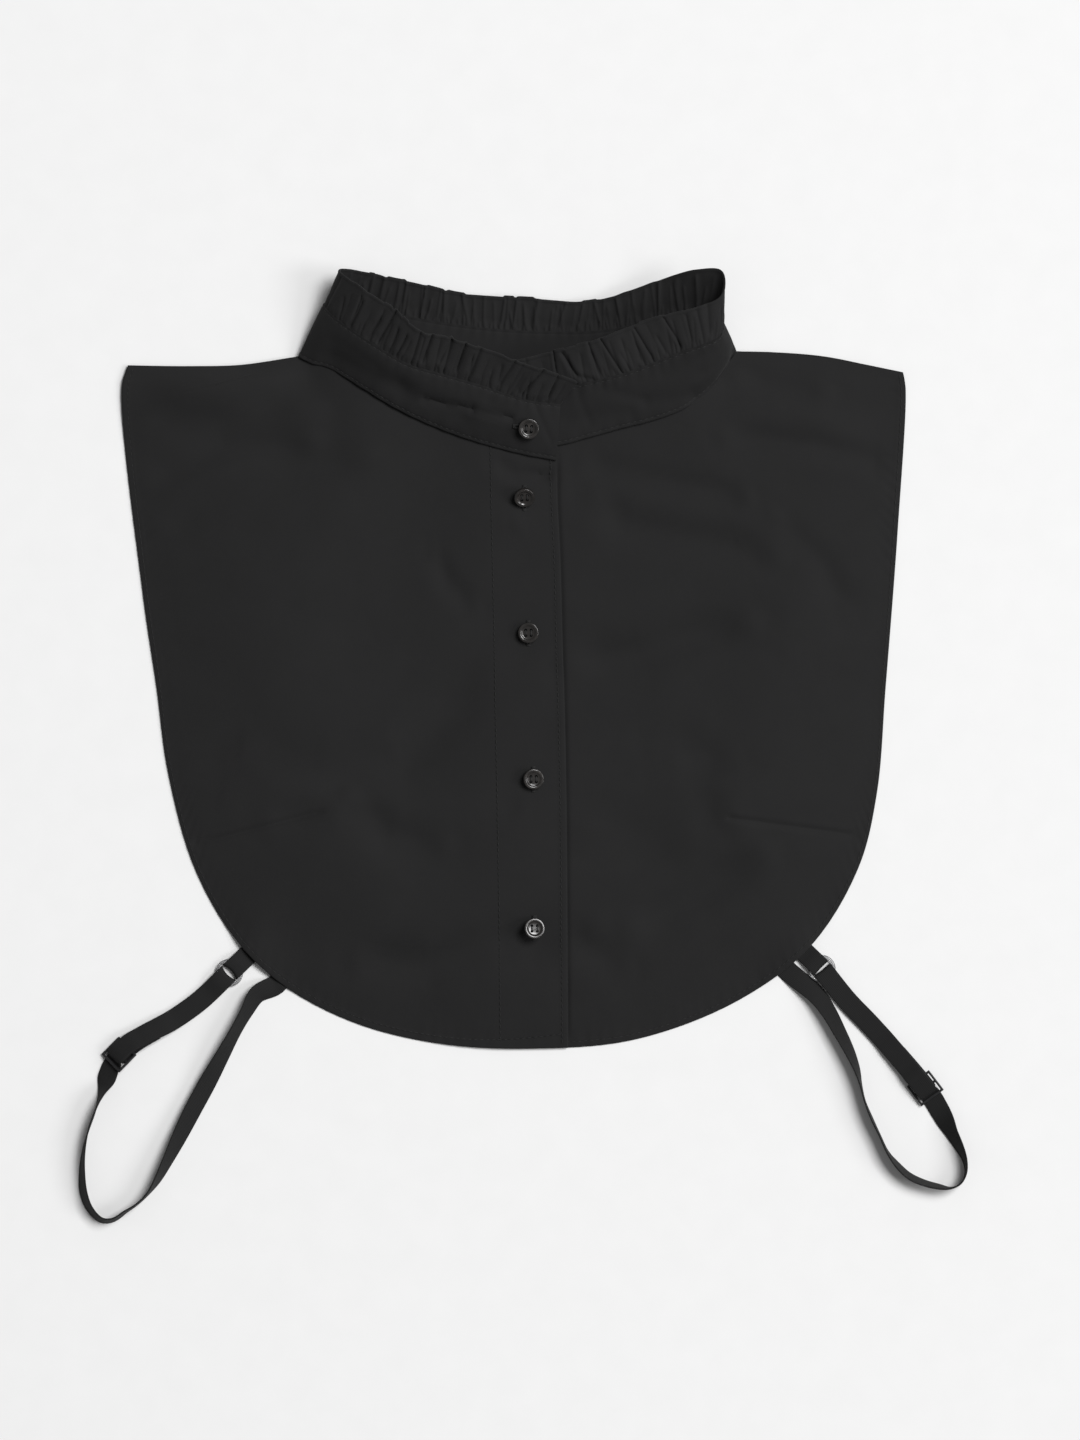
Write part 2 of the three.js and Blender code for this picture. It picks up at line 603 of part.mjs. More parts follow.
function clothFrame(index) {
  const { x, y } = BUTTONS[index];
  if (index === 0) {
    const { point, up, out, side } = bandFrame(x, y);
    return { top: point.addScaledVector(out, BAND / 2), side, up, out, depth: BAND_SHANK_DEPTH };
  }
  const step = 3;
  const height = (px, py) => frontHeight(px, py) + OVERLAP_LIFT + CLOTH / 2;
  const side = new THREE.Vector3(2 * step, 0, height(x + step, y) - height(x - step, y)).normalize();
  const along = new THREE.Vector3(0, 2 * step, height(x, y + step) - height(x, y - step)).normalize();
  const out = side.clone().cross(along).normalize();
  const top = new THREE.Vector3(x, y, height(x, y));
  return { top, side, up: out.clone().cross(side), out, depth: OVERLAP_LIFT - GAP };
}

function buttonPieces() {
  return BUTTONS.flatMap(({ tiltX, tiltY }, index) => {
    const { top, side, up, out, depth } = clothFrame(index);
    const lie = new THREE.Quaternion().setFromRotationMatrix(new THREE.Matrix4().makeBasis(side, up, out));
    const tilt = new THREE.Quaternion().setFromEuler(new THREE.Euler(
      THREE.MathUtils.degToRad(tiltX), THREE.MathUtils.degToRad(tiltY), 0));
    const turned = lie.clone().multiply(tilt);
    const axis = new THREE.Vector3(0, 0, 1).applyQuaternion(turned);
    const slope = axis.angleTo(out);
    const lift = BUTTON_R * Math.sin(slope) + BUTTON_HALF * Math.cos(slope) + GAP;
    const button = new THREE.Mesh(buttonGeometry(), buttonResin());
    button.name = `button_${index + 1}`;
    button.position.copy(top).addScaledVector(out, lift);
    button.quaternion.copy(turned);

    const clear = BUTTON_HALF / Math.cos(slope) + SHANK_R * Math.tan(slope) + GAP;
    const length = depth + lift - clear;
    const shank = new THREE.Mesh(
      weld(new THREE.CylinderGeometry(SHANK_R, SHANK_R, length, 8)).rotateX(Math.PI / 2), thread());
    shank.name = `button_shank_${index + 1}`;
    shank.position.copy(top).addScaledVector(out, length / 2 - depth);
    shank.quaternion.copy(lie);
    return [button, shank];
  });
}

// A strap's route on the table: plan, roll and the frame at each distance along it
class Route {
  constructor(rows, steadyRow = null) {
    const curve = new THREE.CatmullRomCurve3(rows.map(({ x, y, roll }) => new THREE.Vector3(x, y, roll)));
    curve.curveType = 'catmullrom';
    const steps = 60 * (rows.length - 1);
    this.samples = Array.from({ length: steps + 1 }, (_, i) => curve.getPoint(i / steps));
    this.distances = [0];
    for (let i = 1; i <= steps; i += 1) {
      const [a, b] = [this.samples[i - 1], this.samples[i]];
      this.distances.push(this.distances[i - 1] + Math.hypot(b.x - a.x, b.y - a.y));
    }
    this.length = this.distances[steps];
    this.steady = steadyRow === null ? null : this.distances[60 * steadyRow];
  }

  sample(s) {
    const last = this.samples.length - 1;
    const found = this.distances.findIndex((value) => value >= s);
    const i = Math.min(Math.max(found < 0 ? last : found, 1), last);
    const t = (s - this.distances[i - 1]) / (this.distances[i] - this.distances[i - 1]);
    return this.samples[i - 1].clone().lerp(this.samples[i], t);
  }

  // The elastic doesn't twist inside its slider
  rollAt(s) {
    const [still, free] = [9, 26];
    const away = this.steady === null ? free : s - this.steady;
    const reach = Math.abs(away);
    if (reach >= free) return this.sample(s).z;
    const eased = (Math.max(reach - still, 0) * free) / (free - still);
    return this.sample(this.steady + Math.sign(away) * eased).z;
  }

  frame(s) {
    const step = 0.5;
    const tangent = this.sample(s + step).sub(this.sample(s - step)).setZ(0).normalize();
    const roll = THREE.MathUtils.degToRad(this.rollAt(s));
    const level = new THREE.Vector3(-tangent.y, tangent.x, 0);
    const rise = Math.abs(Math.sin(roll)) * (STRAP_W / 2 + 0.1);
    const side = level.clone().multiplyScalar(Math.cos(roll)).setZ(Math.sin(roll));
    const up = level.clone().multiplyScalar(-Math.sin(roll)).setZ(Math.cos(roll));
    return { tangent, side, up, origin: this.sample(s).setZ(rise) };
  }

  point(s, height) {
    const { origin, up } = this.frame(s);
    return origin.addScaledVector(up, height);
  }
}

// A flat ribbon through stations of a route, each with a distance and a height
function ribbonGeometry(route, stations) {
  const centres = stations.map(([s, height]) => route.point(s, height));
  const positions = [];
  centres.forEach((centre, i) => {
    const side = route.frame(stations[i][0]).side;
    const before = centres[Math.max(i - 1, 0)];
    const after = centres[Math.min(i + 1, centres.length - 1)];
    const normal = after.clone().sub(before).normalize().cross(side).normalize();
    for (const [w, t] of [[0.5, 0.5], [-0.5, 0.5], [-0.5, -0.5], [0.5, -0.5]]) {
      const corner = centre.clone().addScaledVector(side, w * STRAP_W).addScaledVector(normal, t * STRAP_T);
      positions.push(...corner.toArray());
    }
  });
  const triangles = [];
  for (let i = 0; i < centres.length - 1; i += 1) {
    for (let k = 0; k < 4; k += 1) {
      const [a, b] = [4 * i + k, 4 * i + ((k + 1) % 4)];
      triangles.push([a, b, b + 4], [a, b + 4, a + 4]);
    }
  }
  const end = 4 * (centres.length - 1);
  triangles.push([0, 2, 1], [0, 3, 2], [end, end + 1, end + 2], [end, end + 2, end + 3]);
  return closedGeometry(positions, triangles);
}

// Stations on a half turn about a bar, from one side of it to the other
function turn(centreS, centreHeight, radius, bulge, fromBelow) {
  const steps = 6;
  return Array.from({ length: steps + 1 }, (_, i) => {
    const angle = (Math.PI * i) / steps - Math.PI / 2;
    const height = radius * Math.sin(angle) * (fromBelow ? 1 : -1);
    return [centreS + bulge * radius * Math.cos(angle), centreHeight + height];
  });
}

// Adds stations between key ones, at most step apart, with eased heights
function fillStations(keys, step) {
  const stations = [keys[0]];
  for (let i = 1; i < keys.length; i += 1) {
    const [from, to] = [keys[i - 1], keys[i]];
    const parts = Math.max(1, Math.ceil(Math.abs(to[0] - from[0]) / step));
    for (let k = 1; k <= parts; k += 1) {
      stations.push([mix(from[0], to[0], k / parts), mix(from[1], to[1], smooth(k / parts))]);
    }
  }
  return stations;
}

const STATION_STEP = 6;
const LAYER = STRAP_T + 0.4; // from one layer of elastic to the next
const RUN_Z = LAID_Z + LAYER;

// Stations hold a distance along the route and a height over the table
function strapStations(route) {
  const slider = route.steady;
  const lower = SLIDER_Z - TURN_R;
  const upper = SLIDER_Z + TURN_R;
  const over = upper + STRAP_T + GAP;
  const easing = mix(RUN_Z, upper, 0.35);
  const sewnTail = [[slider - TAIL, lower], [slider - 8, lower]];
  const backToRing = [
    [slider - 3, upper], [slider - 7.5, upper], [slider - 15, easing], [slider - 24, RUN_Z],
    [slider - 33, LAID_Z], [FOLD_AT + 3, LAID_Z],
  ];
  const backToSlider = [
    [FOLD_AT + 3, RING_Z + FOLD_R], [FOLD_AT + 13, RUN_Z], [slider - 35, RUN_Z],
    [slider - 24, RUN_Z + LAYER], [slider - 15, easing + LAYER], [slider - 8, over],
    [slider - 3, over],
  ];
  // Down through the far slot and out under the slider's end bar
  const throughSlot = [
    [slider + 1, over], [slider + 2.5, over - 0.8], [slider + 3.2, over - 2],
    [slider + 3.4, 1.9], [slider + 4.1, 1.0], [slider + 5.4, 0.62], [slider + 8, LAID_Z],
  ];
  return [
    ...fillStations(sewnTail, STATION_STEP),
    ...turn(slider, SLIDER_Z, TURN_R, 1, true),
    ...fillStations(backToRing, STATION_STEP),
    ...turn(FOLD_AT, RING_Z, FOLD_R, -1, true),
    ...fillStations(backToSlider, STATION_STEP),
    ...throughSlot,
    ...fillStations([[slider + 12, LAID_Z], [route.length, LAID_Z]], STATION_STEP),
  ];
}

// The strap's last end meets the back panel's edge square on
function hemRows({ x, y }) {
  const outline = backOutline();
  const gaps = outline.map((p) => Math.hypot(p.x - x, p.y - y));
  const i = gaps.indexOf(Math.min(...gaps));
  const along = outline[i + 1].clone().sub(outline[i - 1]).normalize();
  const outward = new THREE.Vector3(along.y, -along.x, 0);
  return [GAP + 11, GAP + 5, GAP + 0.1].map((distance) => {
    const point = outline[i].clone().addScaledVector(outward, distance);
    return { x: point.x, y: point.y, roll: 0 };
  });
}

function sliderGeometry() {
  const [w, l] = [SLIDER_HALF_W, SLIDER_HALF_L];
  const cut = 1.2; // rounded corners
  const shape = new THREE.Shape();
  shape.moveTo(-l + cut, -w);
  shape.lineTo(l - cut, -w);
  shape.quadraticCurveTo(l, -w, l, -w + cut);
  shape.lineTo(l, w - cut);
  shape.quadraticCurveTo(l, w, l - cut, w);
  shape.lineTo(-l + cut, w);
  shape.quadraticCurveTo(-l, w, -l, w - cut);
  shape.lineTo(-l, -w + cut);
  for (const end of [-1, 1]) {
    const slot = new THREE.Path();
    slot.moveTo(end * SLOT_FROM, SLOT_TAPER - SLOT_HALF_W);
    slot.lineTo(end * SLOT_TO, -SLOT_HALF_W);
    slot.lineTo(end * SLOT_TO, SLOT_HALF_W);
    slot.lineTo(end * SLOT_FROM, SLOT_HALF_W - SLOT_TAPER);
    shape.holes.push(slot);
  }
  const options = { depth: SLIDER_T, bevelEnabled: false, curveSegments: 3 };
  return weld(new THREE.ExtrudeGeometry(shape, options)).translate(0, 0, -SLIDER_T / 2);
}

function namedMesh(name, geometry, meshMaterial) {
  const mesh = new THREE.Mesh(geometry, meshMaterial);
  mesh.name = name;
  return mesh;
}

function strapAssembly(side) {
  const { route: rows, tabEnd, sliderRow, hemEnd } = STRAPS[side];
  const route = new Route([...rows, ...hemRows(hemEnd)], sliderRow);
  const strap = namedMesh(`strap_${side}`, ribbonGeometry(route, strapStations(route)), elastic());

  const ringAt = { x: rows[0].x, y: rows[0].y };
  const tabRoute = new Route([{ ...ringAt, roll: 0 }, { ...tabEnd, roll: 0 }]);
  const upperLayer = [
    [tabRoute.length, RUN_Z], [FOLD_AT + 9, RUN_Z], [FOLD_AT + 3, RING_Z + FOLD_R],
  ];
  const tabStations = [
    ...fillStations(upperLayer, STATION_STEP),
    ...turn(FOLD_AT, RING_Z, FOLD_R, -1, false),
    ...fillStations([[FOLD_AT + 3, LAID_Z], [tabRoute.length, LAID_Z]], STATION_STEP),
  ];
  const tab = namedMesh(`strap_tab_${side}`, ribbonGeometry(tabRoute, tabStations), elastic());

  const ring = namedMesh(
    `strap_ring_${side}`, weld(new THREE.TorusGeometry(RING_R, WIRE_R, 6, 20)), ringNylon());
  ring.position.set(ringAt.x, ringAt.y, RING_Z);

  const slider = namedMesh(`strap_slider_${side}`, sliderGeometry(), sliderNylon());
  const frame = route.frame(route.steady);
  slider.position.copy(route.point(route.steady, SLIDER_Z));
  slider.quaternion.setFromRotationMatrix(
    new THREE.Matrix4().makeBasis(frame.tangent, frame.side, frame.up));
  return [tab, ring, strap, slider];
}

const mockCollar = new THREE.Group();
mockCollar.add(
  namedMesh('back_panel', backPanel(), cotton()),
  namedMesh('front_left_panel', leftFrontPanel(), cotton()),
  namedMesh('front_right_panel', rightFrontPanel(), cotton()),
  namedMesh('collar_band', collarBand(), cotton()),
  namedMesh('collar_ruffle', collarRuffle(), cotton()),
  ...buttonPieces(),
  ...strapAssembly('left'),
  ...strapAssembly('right'),
);

// The origin is under the middle of the whole piece, on the surface that it lies on
const extent = new THREE.Box3().setFromObject(mockCollar, true);
const middle = extent.getCenter(new THREE.Vector3());
mockCollar.position.set(-middle.x, -middle.y, -extent.min.z);

export default mockCollar;
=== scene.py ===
import math

import bmesh
import bpy
import numpy as np
from mathutils import Matrix, Vector


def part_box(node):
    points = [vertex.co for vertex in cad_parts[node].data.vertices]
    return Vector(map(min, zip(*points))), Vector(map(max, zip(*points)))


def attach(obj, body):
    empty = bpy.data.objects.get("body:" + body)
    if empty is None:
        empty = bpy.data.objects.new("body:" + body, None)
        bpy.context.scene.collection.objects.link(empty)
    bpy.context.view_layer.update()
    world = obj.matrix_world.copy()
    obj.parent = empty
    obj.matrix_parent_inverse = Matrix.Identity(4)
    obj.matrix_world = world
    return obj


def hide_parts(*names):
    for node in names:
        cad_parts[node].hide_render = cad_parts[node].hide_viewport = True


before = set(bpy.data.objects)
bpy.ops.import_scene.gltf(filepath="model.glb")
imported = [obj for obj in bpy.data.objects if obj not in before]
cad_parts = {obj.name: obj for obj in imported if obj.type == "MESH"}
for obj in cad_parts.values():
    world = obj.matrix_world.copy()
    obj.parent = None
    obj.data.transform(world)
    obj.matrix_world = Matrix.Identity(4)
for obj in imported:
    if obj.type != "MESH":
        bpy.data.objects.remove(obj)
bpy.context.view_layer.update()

# Measures below are millimetres in the drawing's frame: x to the viewer's right, y from hem to collar.
MM = 0.001
DRAWN_RING = np.array([-147.8, -113.5])  # middle of the left ring in the drawing
ring_low, ring_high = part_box("strap_ring_left")
SHIFT = np.array([
    (ring_low.x + ring_high.x) / 2 / MM - DRAWN_RING[0],
    (ring_low.y + ring_high.y) / 2 / MM - DRAWN_RING[1],
    0.0,
])

# Camera and lights
PHOTO_LONG_SIDE = 720.0  # height of the picture on the table
CAMERA_HEIGHT = 3600.0
SHARP_PLANE = 6.0  # the picture is to scale this high above the table
SENSOR = 36.0
CLIP_END_M = 20.0
PICTURE_MIDDLE = (7.75, 13.0)
SOFTBOXES = {  # place and side in metres, power in watts
    "main_softbox": ((4.6, 3.3, 9.5), 4.6, 1060),
    "right_softbox": ((8.6, -1.1, 6.5), 4.0, 307),
}
STUDIO_AIR = 0.18


def put_in_scene(name, data):
    made = bpy.data.objects.new(name, data)
    bpy.context.scene.collection.objects.link(made)
    return made


def set_camera():
    lens = bpy.data.cameras.new("camera")
    lens.sensor_width = SENSOR
    lens.lens = SENSOR * CAMERA_HEIGHT / PHOTO_LONG_SIDE
    lens.clip_end = CLIP_END_M
    camera = put_in_scene("camera", lens)
    x, y = (np.array(PICTURE_MIDDLE) + SHIFT[:2]) * MM
    camera.location = (x, y, (CAMERA_HEIGHT + SHARP_PLANE) * MM)
    bpy.context.scene.camera = camera


def set_lights():
    for name, (place, side, power) in SOFTBOXES.items():
        box = bpy.data.lights.new(name, "AREA")
        box.shape = "RECTANGLE"
        box.size = side
        box.size_y = side
        box.energy = power
        light = put_in_scene(name, box)
        light.location = place
        light.rotation_euler = (-Vector(place)).to_track_quat("-Z", "Y").to_euler()
    world = bpy.data.worlds.new("studio_air")
    world.use_nodes = True
    air = world.node_tree.nodes["Background"]
    air.inputs["Color"].default_value = (1.0, 1.0, 1.0, 1.0)
    air.inputs["Strength"].default_value = STUDIO_AIR
    bpy.context.scene.world = world
    bpy.context.scene.view_settings.view_transform = "Standard"


set_camera()
set_lights()

# Thicknesses and clearances
CLOTH = 1.0  # the solid model's one layer of poplin
POPLIN = 0.34  # half of the poplin as it is shown
BAND = 1.6
GAP = 0.35

# How the front stands off the back
DOME = 8
SIDE_RUN = 70
SHOULDER_RUN = 45
EDGE_Z = 0.65
SHOULDER_LIFT = 1.25
SHOULDER_LIFT_RUN = (150, 180)
OVERLAP_LIFT = 1.45
OVERLAP_RUN = (-27, -14)
SHOWN_OVERLAP = (-62, -10)
LIP = 2
BACK_INSET = 9
BACK_INSET_RUN = 35
BASE_LEAD = 8

# Buttons
BUTTON_R = 5.1
BUTTON_HALF = 1.1
BUTTON_HOLE_R = 0.75
BUTTON_HOLE_AT = 1.35
BUTTON_DISH = 0.62

# Elastic straps with their rings and sliders
STRAP_W = 10.2
STRAP_T = 0.8
RING_R = 6.2
WIRE_R = 0.7
RING_Z = 1.9
FOLD_R = 1.4
FOLD_AT = 2.76
SLIDER_Z = 2.1
SLIDER_T = 1.2
SLIDER_HALF_W = 7
SLIDER_HALF_L = 6.2
SLOT_HALF_W = 5.9
SLOT_FROM = 0.6
SLOT_TO = 5.0
SLIDER_CORNER = 1.2
PARTING = 0.03
TURN_R = 1.5
TAIL = 22
LAID_Z = 0.5
LAYER = STRAP_T + 0.4
RUN_Z = LAID_Z + LAYER

# The side and hem outline, from the left shoulder tip round the hem to the right shoulder tip
OUTLINE = np.array([
    (-198.5, 190.5), (-201.6, 180), (-191.2, 77), (-184.2, 29), (-178.5, -13), (-165.2, -61),
    (-144.5, -97), (-119, -121), (-84, -139), (-43, -149), (2.8, -151.5), (55.2, -147),
    (107.8, -127), (144.2, -99), (167.2, -61), (176.4, -24), (180.8, 29), (186.8, 107),
    (190.8, 179), (189.5, 187),
])

# Collar sections: base x, y, height; ruffle seam x, y, z; ruffle edge x, y, z; bow
OVER = -1.0  # the base lies on the buttonhole side
UNDER = -2.0  # the base lies on the button side
COLLAR = np.array([
    (15.8, 142.5, OVER, 17.8, 170.5, 17.5, 26.8, 181, 24, 0.6),
    (-2.2, 146, OVER, 1.2, 172.5, 20, 8.2, 187.5, 27.5, 1.2),
    (-25.8, 152.5, OVER, -20.8, 179.5, 21.5, -14.8, 195.5, 29.5, 1.8),
    (-47.2, 160.5, OVER, -39.8, 185, 23, -34.8, 202.5, 30.5, 2),
    (-65.8, 169.5, OVER, -57.2, 190, 24.5, -51.8, 206.5, 31.5, 2),
    (-82.2, 179.5, OVER, -72.2, 198.5, 24, -65.2, 217, 30, 1.6),
    (-98.2, 189, OVER, -85.8, 207.5, 21, -77.8, 225.5, 27, 1),
    (-107, 191.5, OVER, -95.2, 214.5, 16.5, -86.8, 232.5, 23.5, 0.4),
    (-112.5, 195, OVER, -99.8, 220.5, 11, -91.8, 237.5, 18.5, 0),
    (-106, 197.5, 3.2, -93.2, 221, 6, -86.2, 238, 14, 0),
    (-90, 192, 2.4, -80.2, 219.5, 3.2, -75.2, 235.5, 9.5, 0),
    (-64.8, 186.5, 2.2, -58.2, 215, 2.6, -55.8, 231.5, 7, 0),
    (-39.8, 182.5, 2.2, -34.8, 211, 2.4, -33.8, 226.5, 5, 0),
    (-14.8, 180, 2.2, -12.2, 208.5, 2.4, -12.2, 224.5, 4.6, 0),
    (10.2, 179, 2.2, 10.2, 207.5, 2.4, 10.2, 223.5, 4.6, 0),
    (33.8, 179.5, 2.2, 31.8, 207.5, 2.8, 31.8, 222.5, 5, 0),
    (55.2, 182.5, 2.2, 50.8, 210, 4, 49.2, 226, 7.5, 0),
    (75.2, 187.5, 2.4, 68.8, 214.5, 7.2, 67.8, 233, 11.5, 0),
    (91.8, 192, 2.6, 85.8, 217.5, 11.5, 85.2, 237, 18.5, 0),
    (101.5, 197.5, 3.2, 95.8, 215, 16, 97.2, 236.8, 22.5, 0),
    (106.2, 197.5, UNDER, 98.8, 210, 20, 99.3, 233, 25, 0),
    (103.8, 191, UNDER, 96.8, 204, 22.5, 97.8, 223.5, 27.5, 0.4),
    (95.8, 180, UNDER, 88.8, 200, 23.5, 86.2, 218.5, 28.5, 0.8),
    (82.8, 170, UNDER, 76.8, 196, 22, 69.8, 214.5, 27, 1),
    (65.2, 163, UNDER, 61.8, 190, 20, 53.8, 209, 25, 1),
    (47.8, 158.5, UNDER, 45.2, 184.5, 18.5, 37.8, 203, 23.5, 0.8),
    (31.8, 154, UNDER, 31.8, 181.5, 16.5, 26.2, 199.5, 21, 0.4),
    (15.8, 150, UNDER, 17.8, 178.5, 14, 13.2, 196.5, 18.5, 0),
    (-4.8, 150, UNDER, -0.2, 178, 13.5, -4.8, 192.5, 18, 0),
])
LEFT_FOLD = 8
RIGHT_FOLD = 20
SECTIONS = len(COLLAR) - 1

LEFT_SHOULDER = [(-142, 190.6), (-167, 190)]
RIGHT_SHOULDER = [(125.8, 197), (149.8, 195), (172.8, 190.5)]
PLACKET = [(16.5, 123), (18, 93), (19, 53), (20, 23), (21, -27), (21.8, -151)]
UNDERLAP_X = -12.5

# Soft folds that the solid model has too: from x, y to x, y, width and height
FOLDS = [
    (-164, 176, -108, 156, 9, 1.4), (-150, 150, -96, 140, 10, -0.8), (-72, 168, -108, 96, 13, 1.2),
    (-46, 140, -70, 60, 14, -0.9), (-95, -30, -95, -29, 19, 1.6), (-164, -50, -104, -33, 7, -0.9),
    (40, 120, 96, 150, 12, 1.0), (150, 160, 178, 138, 9, 1.2), (118, 150, 160, 96, 12, -0.8),
    (111, -34, 111, -33, 19, 1.6), (168, -44, 118, -35, 7, -0.9), (92, -96, 34, -108, 10, -1.1),
    (-120, 40, -60, -90, 18, 0.9), (60, 60, 90, -20, 18, 0.8),
]

# Finer creases of the shown cloth: a line of x, y points, then width and height
CREASES = [
    ([(-194, 157), (-150, 159), (-110, 166)], 10, -1.6),
    ([(-192, 131), (-150, 148), (-104, 152)], 6, -1.0),
    ([(-185, 108), (-140, 132), (-75, 145)], 7, -1.0),
    ([(-180, 95), (-120, 115)], 9, -0.5),
    ([(-146, 172), (-104, 166)], 9, -1.2),
    ([(-46, 98), (-38, 81), (-24, 69)], 3.6, -0.8),
    ([(-196, 180), (-150, 183), (-108, 185)], 10, 2.4),
    ([(-142, -5), (-100, -12), (-62, -9), (-14, 42)], 10, -1.5),
    ([(-130, -38), (-94, -30)], 7, -1.1),
    ([(-88, -24), (-68, -45), (-38, -51)], 6, -1.5),
    ([(-85, -107), (-48, -108), (-16, -98), (20, -95)], 6, -2.0),
    ([(-5, -97), (28, -98), (52, -113)], 5, -1.1),
    ([(10, -110), (32, -136)], 5, -0.5),
    ([(-14, -34), (0, -27)], 2.6, -0.5),
    ([(98, 156), (145, 151), (187, 139)], 5, -1.0),
    ([(104, 186), (122, 180), (152, 176)], 5, -1.0),
    ([(28, 141), (60, 134), (112, 124)], 4.5, -1.1),
    ([(34, 126), (50, 110), (90, 102), (127, 94)], 6, -1.3),
    ([(124, 116), (150, 90), (162, 64)], 5, -0.7),
    ([(22, 41), (60, 46), (86, 55), (114, 62)], 7, -1.9),
    ([(56, -12), (60, 2), (92, 12)], 5, -0.5),
    ([(74, -5), (107, -8)], 5, -0.9),
    ([(86, -5), (96, -52)], 6, -0.6),
    ([(30, -42), (86, -50)], 10, -1.3),
    ([(52, -92), (86, -75), (122, -54)], 7, -1.9),
    ([(-16, 142), (-4, 136), (15, 134)], 2.2, -0.8),
    ([(4, 134), (16, 136)], 1.3, -0.5),
    ([(-9, 112), (3, 109)], 2.0, 0.5),
]
CREASE_GAIN = 2.1
DARTS = [((-164, -49), (-98, -32)), ((103, -36), (169, -45))]
DART_WIDTH = 1.2
DART_DEPTH = 0.8

# Where an elastic end lifts the front's hem: x, y, height, width
LIFTS = [(-137, -104, 2.9, 9), (-127, -113, 1.4, 9), (140.5, -104, 2.9, 9), (130.5, -112, 1.4, 9)]

# Buttons from the neck down: x, y, then tilts in degrees about x and y from the cloth's lie
BUTTONS = [(1.8, 159, -8, 0), (0, 124, 30, 4), (2, 56.5, 2, -3), (4.5, -16.5, 6, 10), (5, -91, -6, 8)]

# Strap routes in plan with the elastic's roll in degrees
LEFT_ROUTE = [
    (-147.8, -113.5, 0), (-161.8, -127, 4), (-175.5, -137, 10), (-188.2, -144.6, 20),
    (-196.6, -150.1, 25), (-202.2, -155, 25), (-206.8, -160.6, 25), (-210, -170, 66),
    (-214.2, -182.5, 88), (-217.8, -193, 88), (-220, -203, 80), (-220.8, -213, 72), (-220.2, -223, 66),
    (-217.2, -231, 68), (-211.8, -236.5, 72), (-205.8, -236.5, 78), (-199.8, -232.5, 82),
    (-193.8, -228.5, 86), (-188.2, -223, 84), (-183.8, -216.5, 72), (-178.8, -207, 60),
    (-172.8, -195, 44), (-166.2, -182, 34), (-159.2, -169, 33), (-152.2, -156, 46), (-145.2, -143, 57),
    (-139.2, -132.5, 52), (-133.8, -124, 30),
]
RIGHT_ROUTE = [
    (148.8, -111.5, 0), (161.2, -127, 0), (173.2, -139.5, 3), (187.2, -155, 6), (200.8, -171, 10),
    (207.8, -182, 24), (213.2, -192, 50), (217.8, -200.5, 66), (220.6, -207, 80), (221.2, -213.5, 90),
    (218.8, -219, 95), (213.8, -221.5, 92), (207.8, -221, 80), (199.8, -219, 76), (192.2, -215.5, 74),
    (186.2, -210, 76), (181.2, -203.5, 84), (177.2, -195, 86), (173.2, -186.5, 84), (169.8, -178, 87),
    (167.8, -170, 84), (165.8, -162, 72), (162.2, -153, 60), (157.2, -143, 50), (151.8, -133, 40),
    (145.2, -124, 24),
]
STRAPS = {  # ring_fold: how far the folds stand off the ring at their edges, and more in the middle
    "left": dict(
        route=LEFT_ROUTE, tab_end=(-134, -100.3), slider_row=5, hem_end=(-120.8, -105.5),
        ring_fold=(-0.9, 1.2)),
    "right": dict(
        route=RIGHT_ROUTE, tab_end=(137.4, -100.5), slider_row=4, hem_end=(128, -109),
        ring_fold=(-0.75, 0.3)),
}


# Small mathematical helpers
def ramp(value, start, end):
    return np.clip((value - start) / (end - start), 0, 1)


def ease(t):
    return t * t * (3 - 2 * t)


def swell(t):
    return np.sin(math.pi / 2 * np.minimum(t, 1))


def bell(distance, width):
    return np.exp(-0.5 * (distance / width) ** 2)


def unit(v):
    return v / np.maximum(np.linalg.norm(v, axis=-1, keepdims=True), 1e-9)


def distance_to_segment(xy, a, b):
    a = np.asarray(a, float)
    along = np.asarray(b, float) - a
    t = np.clip(((xy - a) @ along) / max(along @ along, 1e-9), 0, 1)
    return np.linalg.norm(xy - a - t[..., None] * along, axis=-1)


def distance_to_line(xy, line):
    nearest = np.full(xy.shape[:-1], np.inf)
    for a, b in zip(line[:-1], line[1:]):
        nearest = np.minimum(nearest, distance_to_segment(xy, a, b))
    return nearest


def with_ends(points):
    """Points with one more at each end, straight on."""
    return np.vstack([2 * points[0] - points[1], points, 2 * points[-1] - points[-2]])


def cubic(b, c, start, end, w):
    """From b to c as w goes from 0 to 1, leaving along start and arriving along end."""
    return (b + start * w + (3 * (c - b) - 2 * start - end) * w ** 2
            + (2 * (b - c) + start + end) * w ** 3)


def four_about(points, t):
    """The four points about t, which runs from 0 to 1, and how far t is between the middle two."""
    last = len(points) - 1
    at = np.clip(np.asarray(t, float), 0, 1) * last
    i = np.minimum(at.astype(int), last - 1)
    ends = with_ends(points)
    return [ends[i + k] for k in range(4)], (at - i)[:, None]


def through(points, t):
    """A smooth curve through points, at t from 0 to 1."""
    (a, b, c, d), w = four_about(np.asarray(points, float), t)

    def gap(p, q):
        return np.sqrt(np.maximum(np.linalg.norm(q - p, axis=1), 1e-6))[:, None]

    before, here, after = gap(a, b), gap(b, c), gap(c, d)
    start = ((b - a) / before - (c - a) / (before + here) + (c - b) / here) * here
    end = ((c - b) / here - (d - b) / (here + after) + (d - c) / after) * here
    return cubic(b, c, start, end, w)


def distances_along(points):
    return np.concatenate([[0], np.cumsum(np.linalg.norm(np.diff(points, axis=0), axis=1))])


def columns_at(distance, far, table):
    """Each column of a table, read at a distance."""
    return np.stack([np.interp(distance, far, values) for values in table.T], axis=-1)


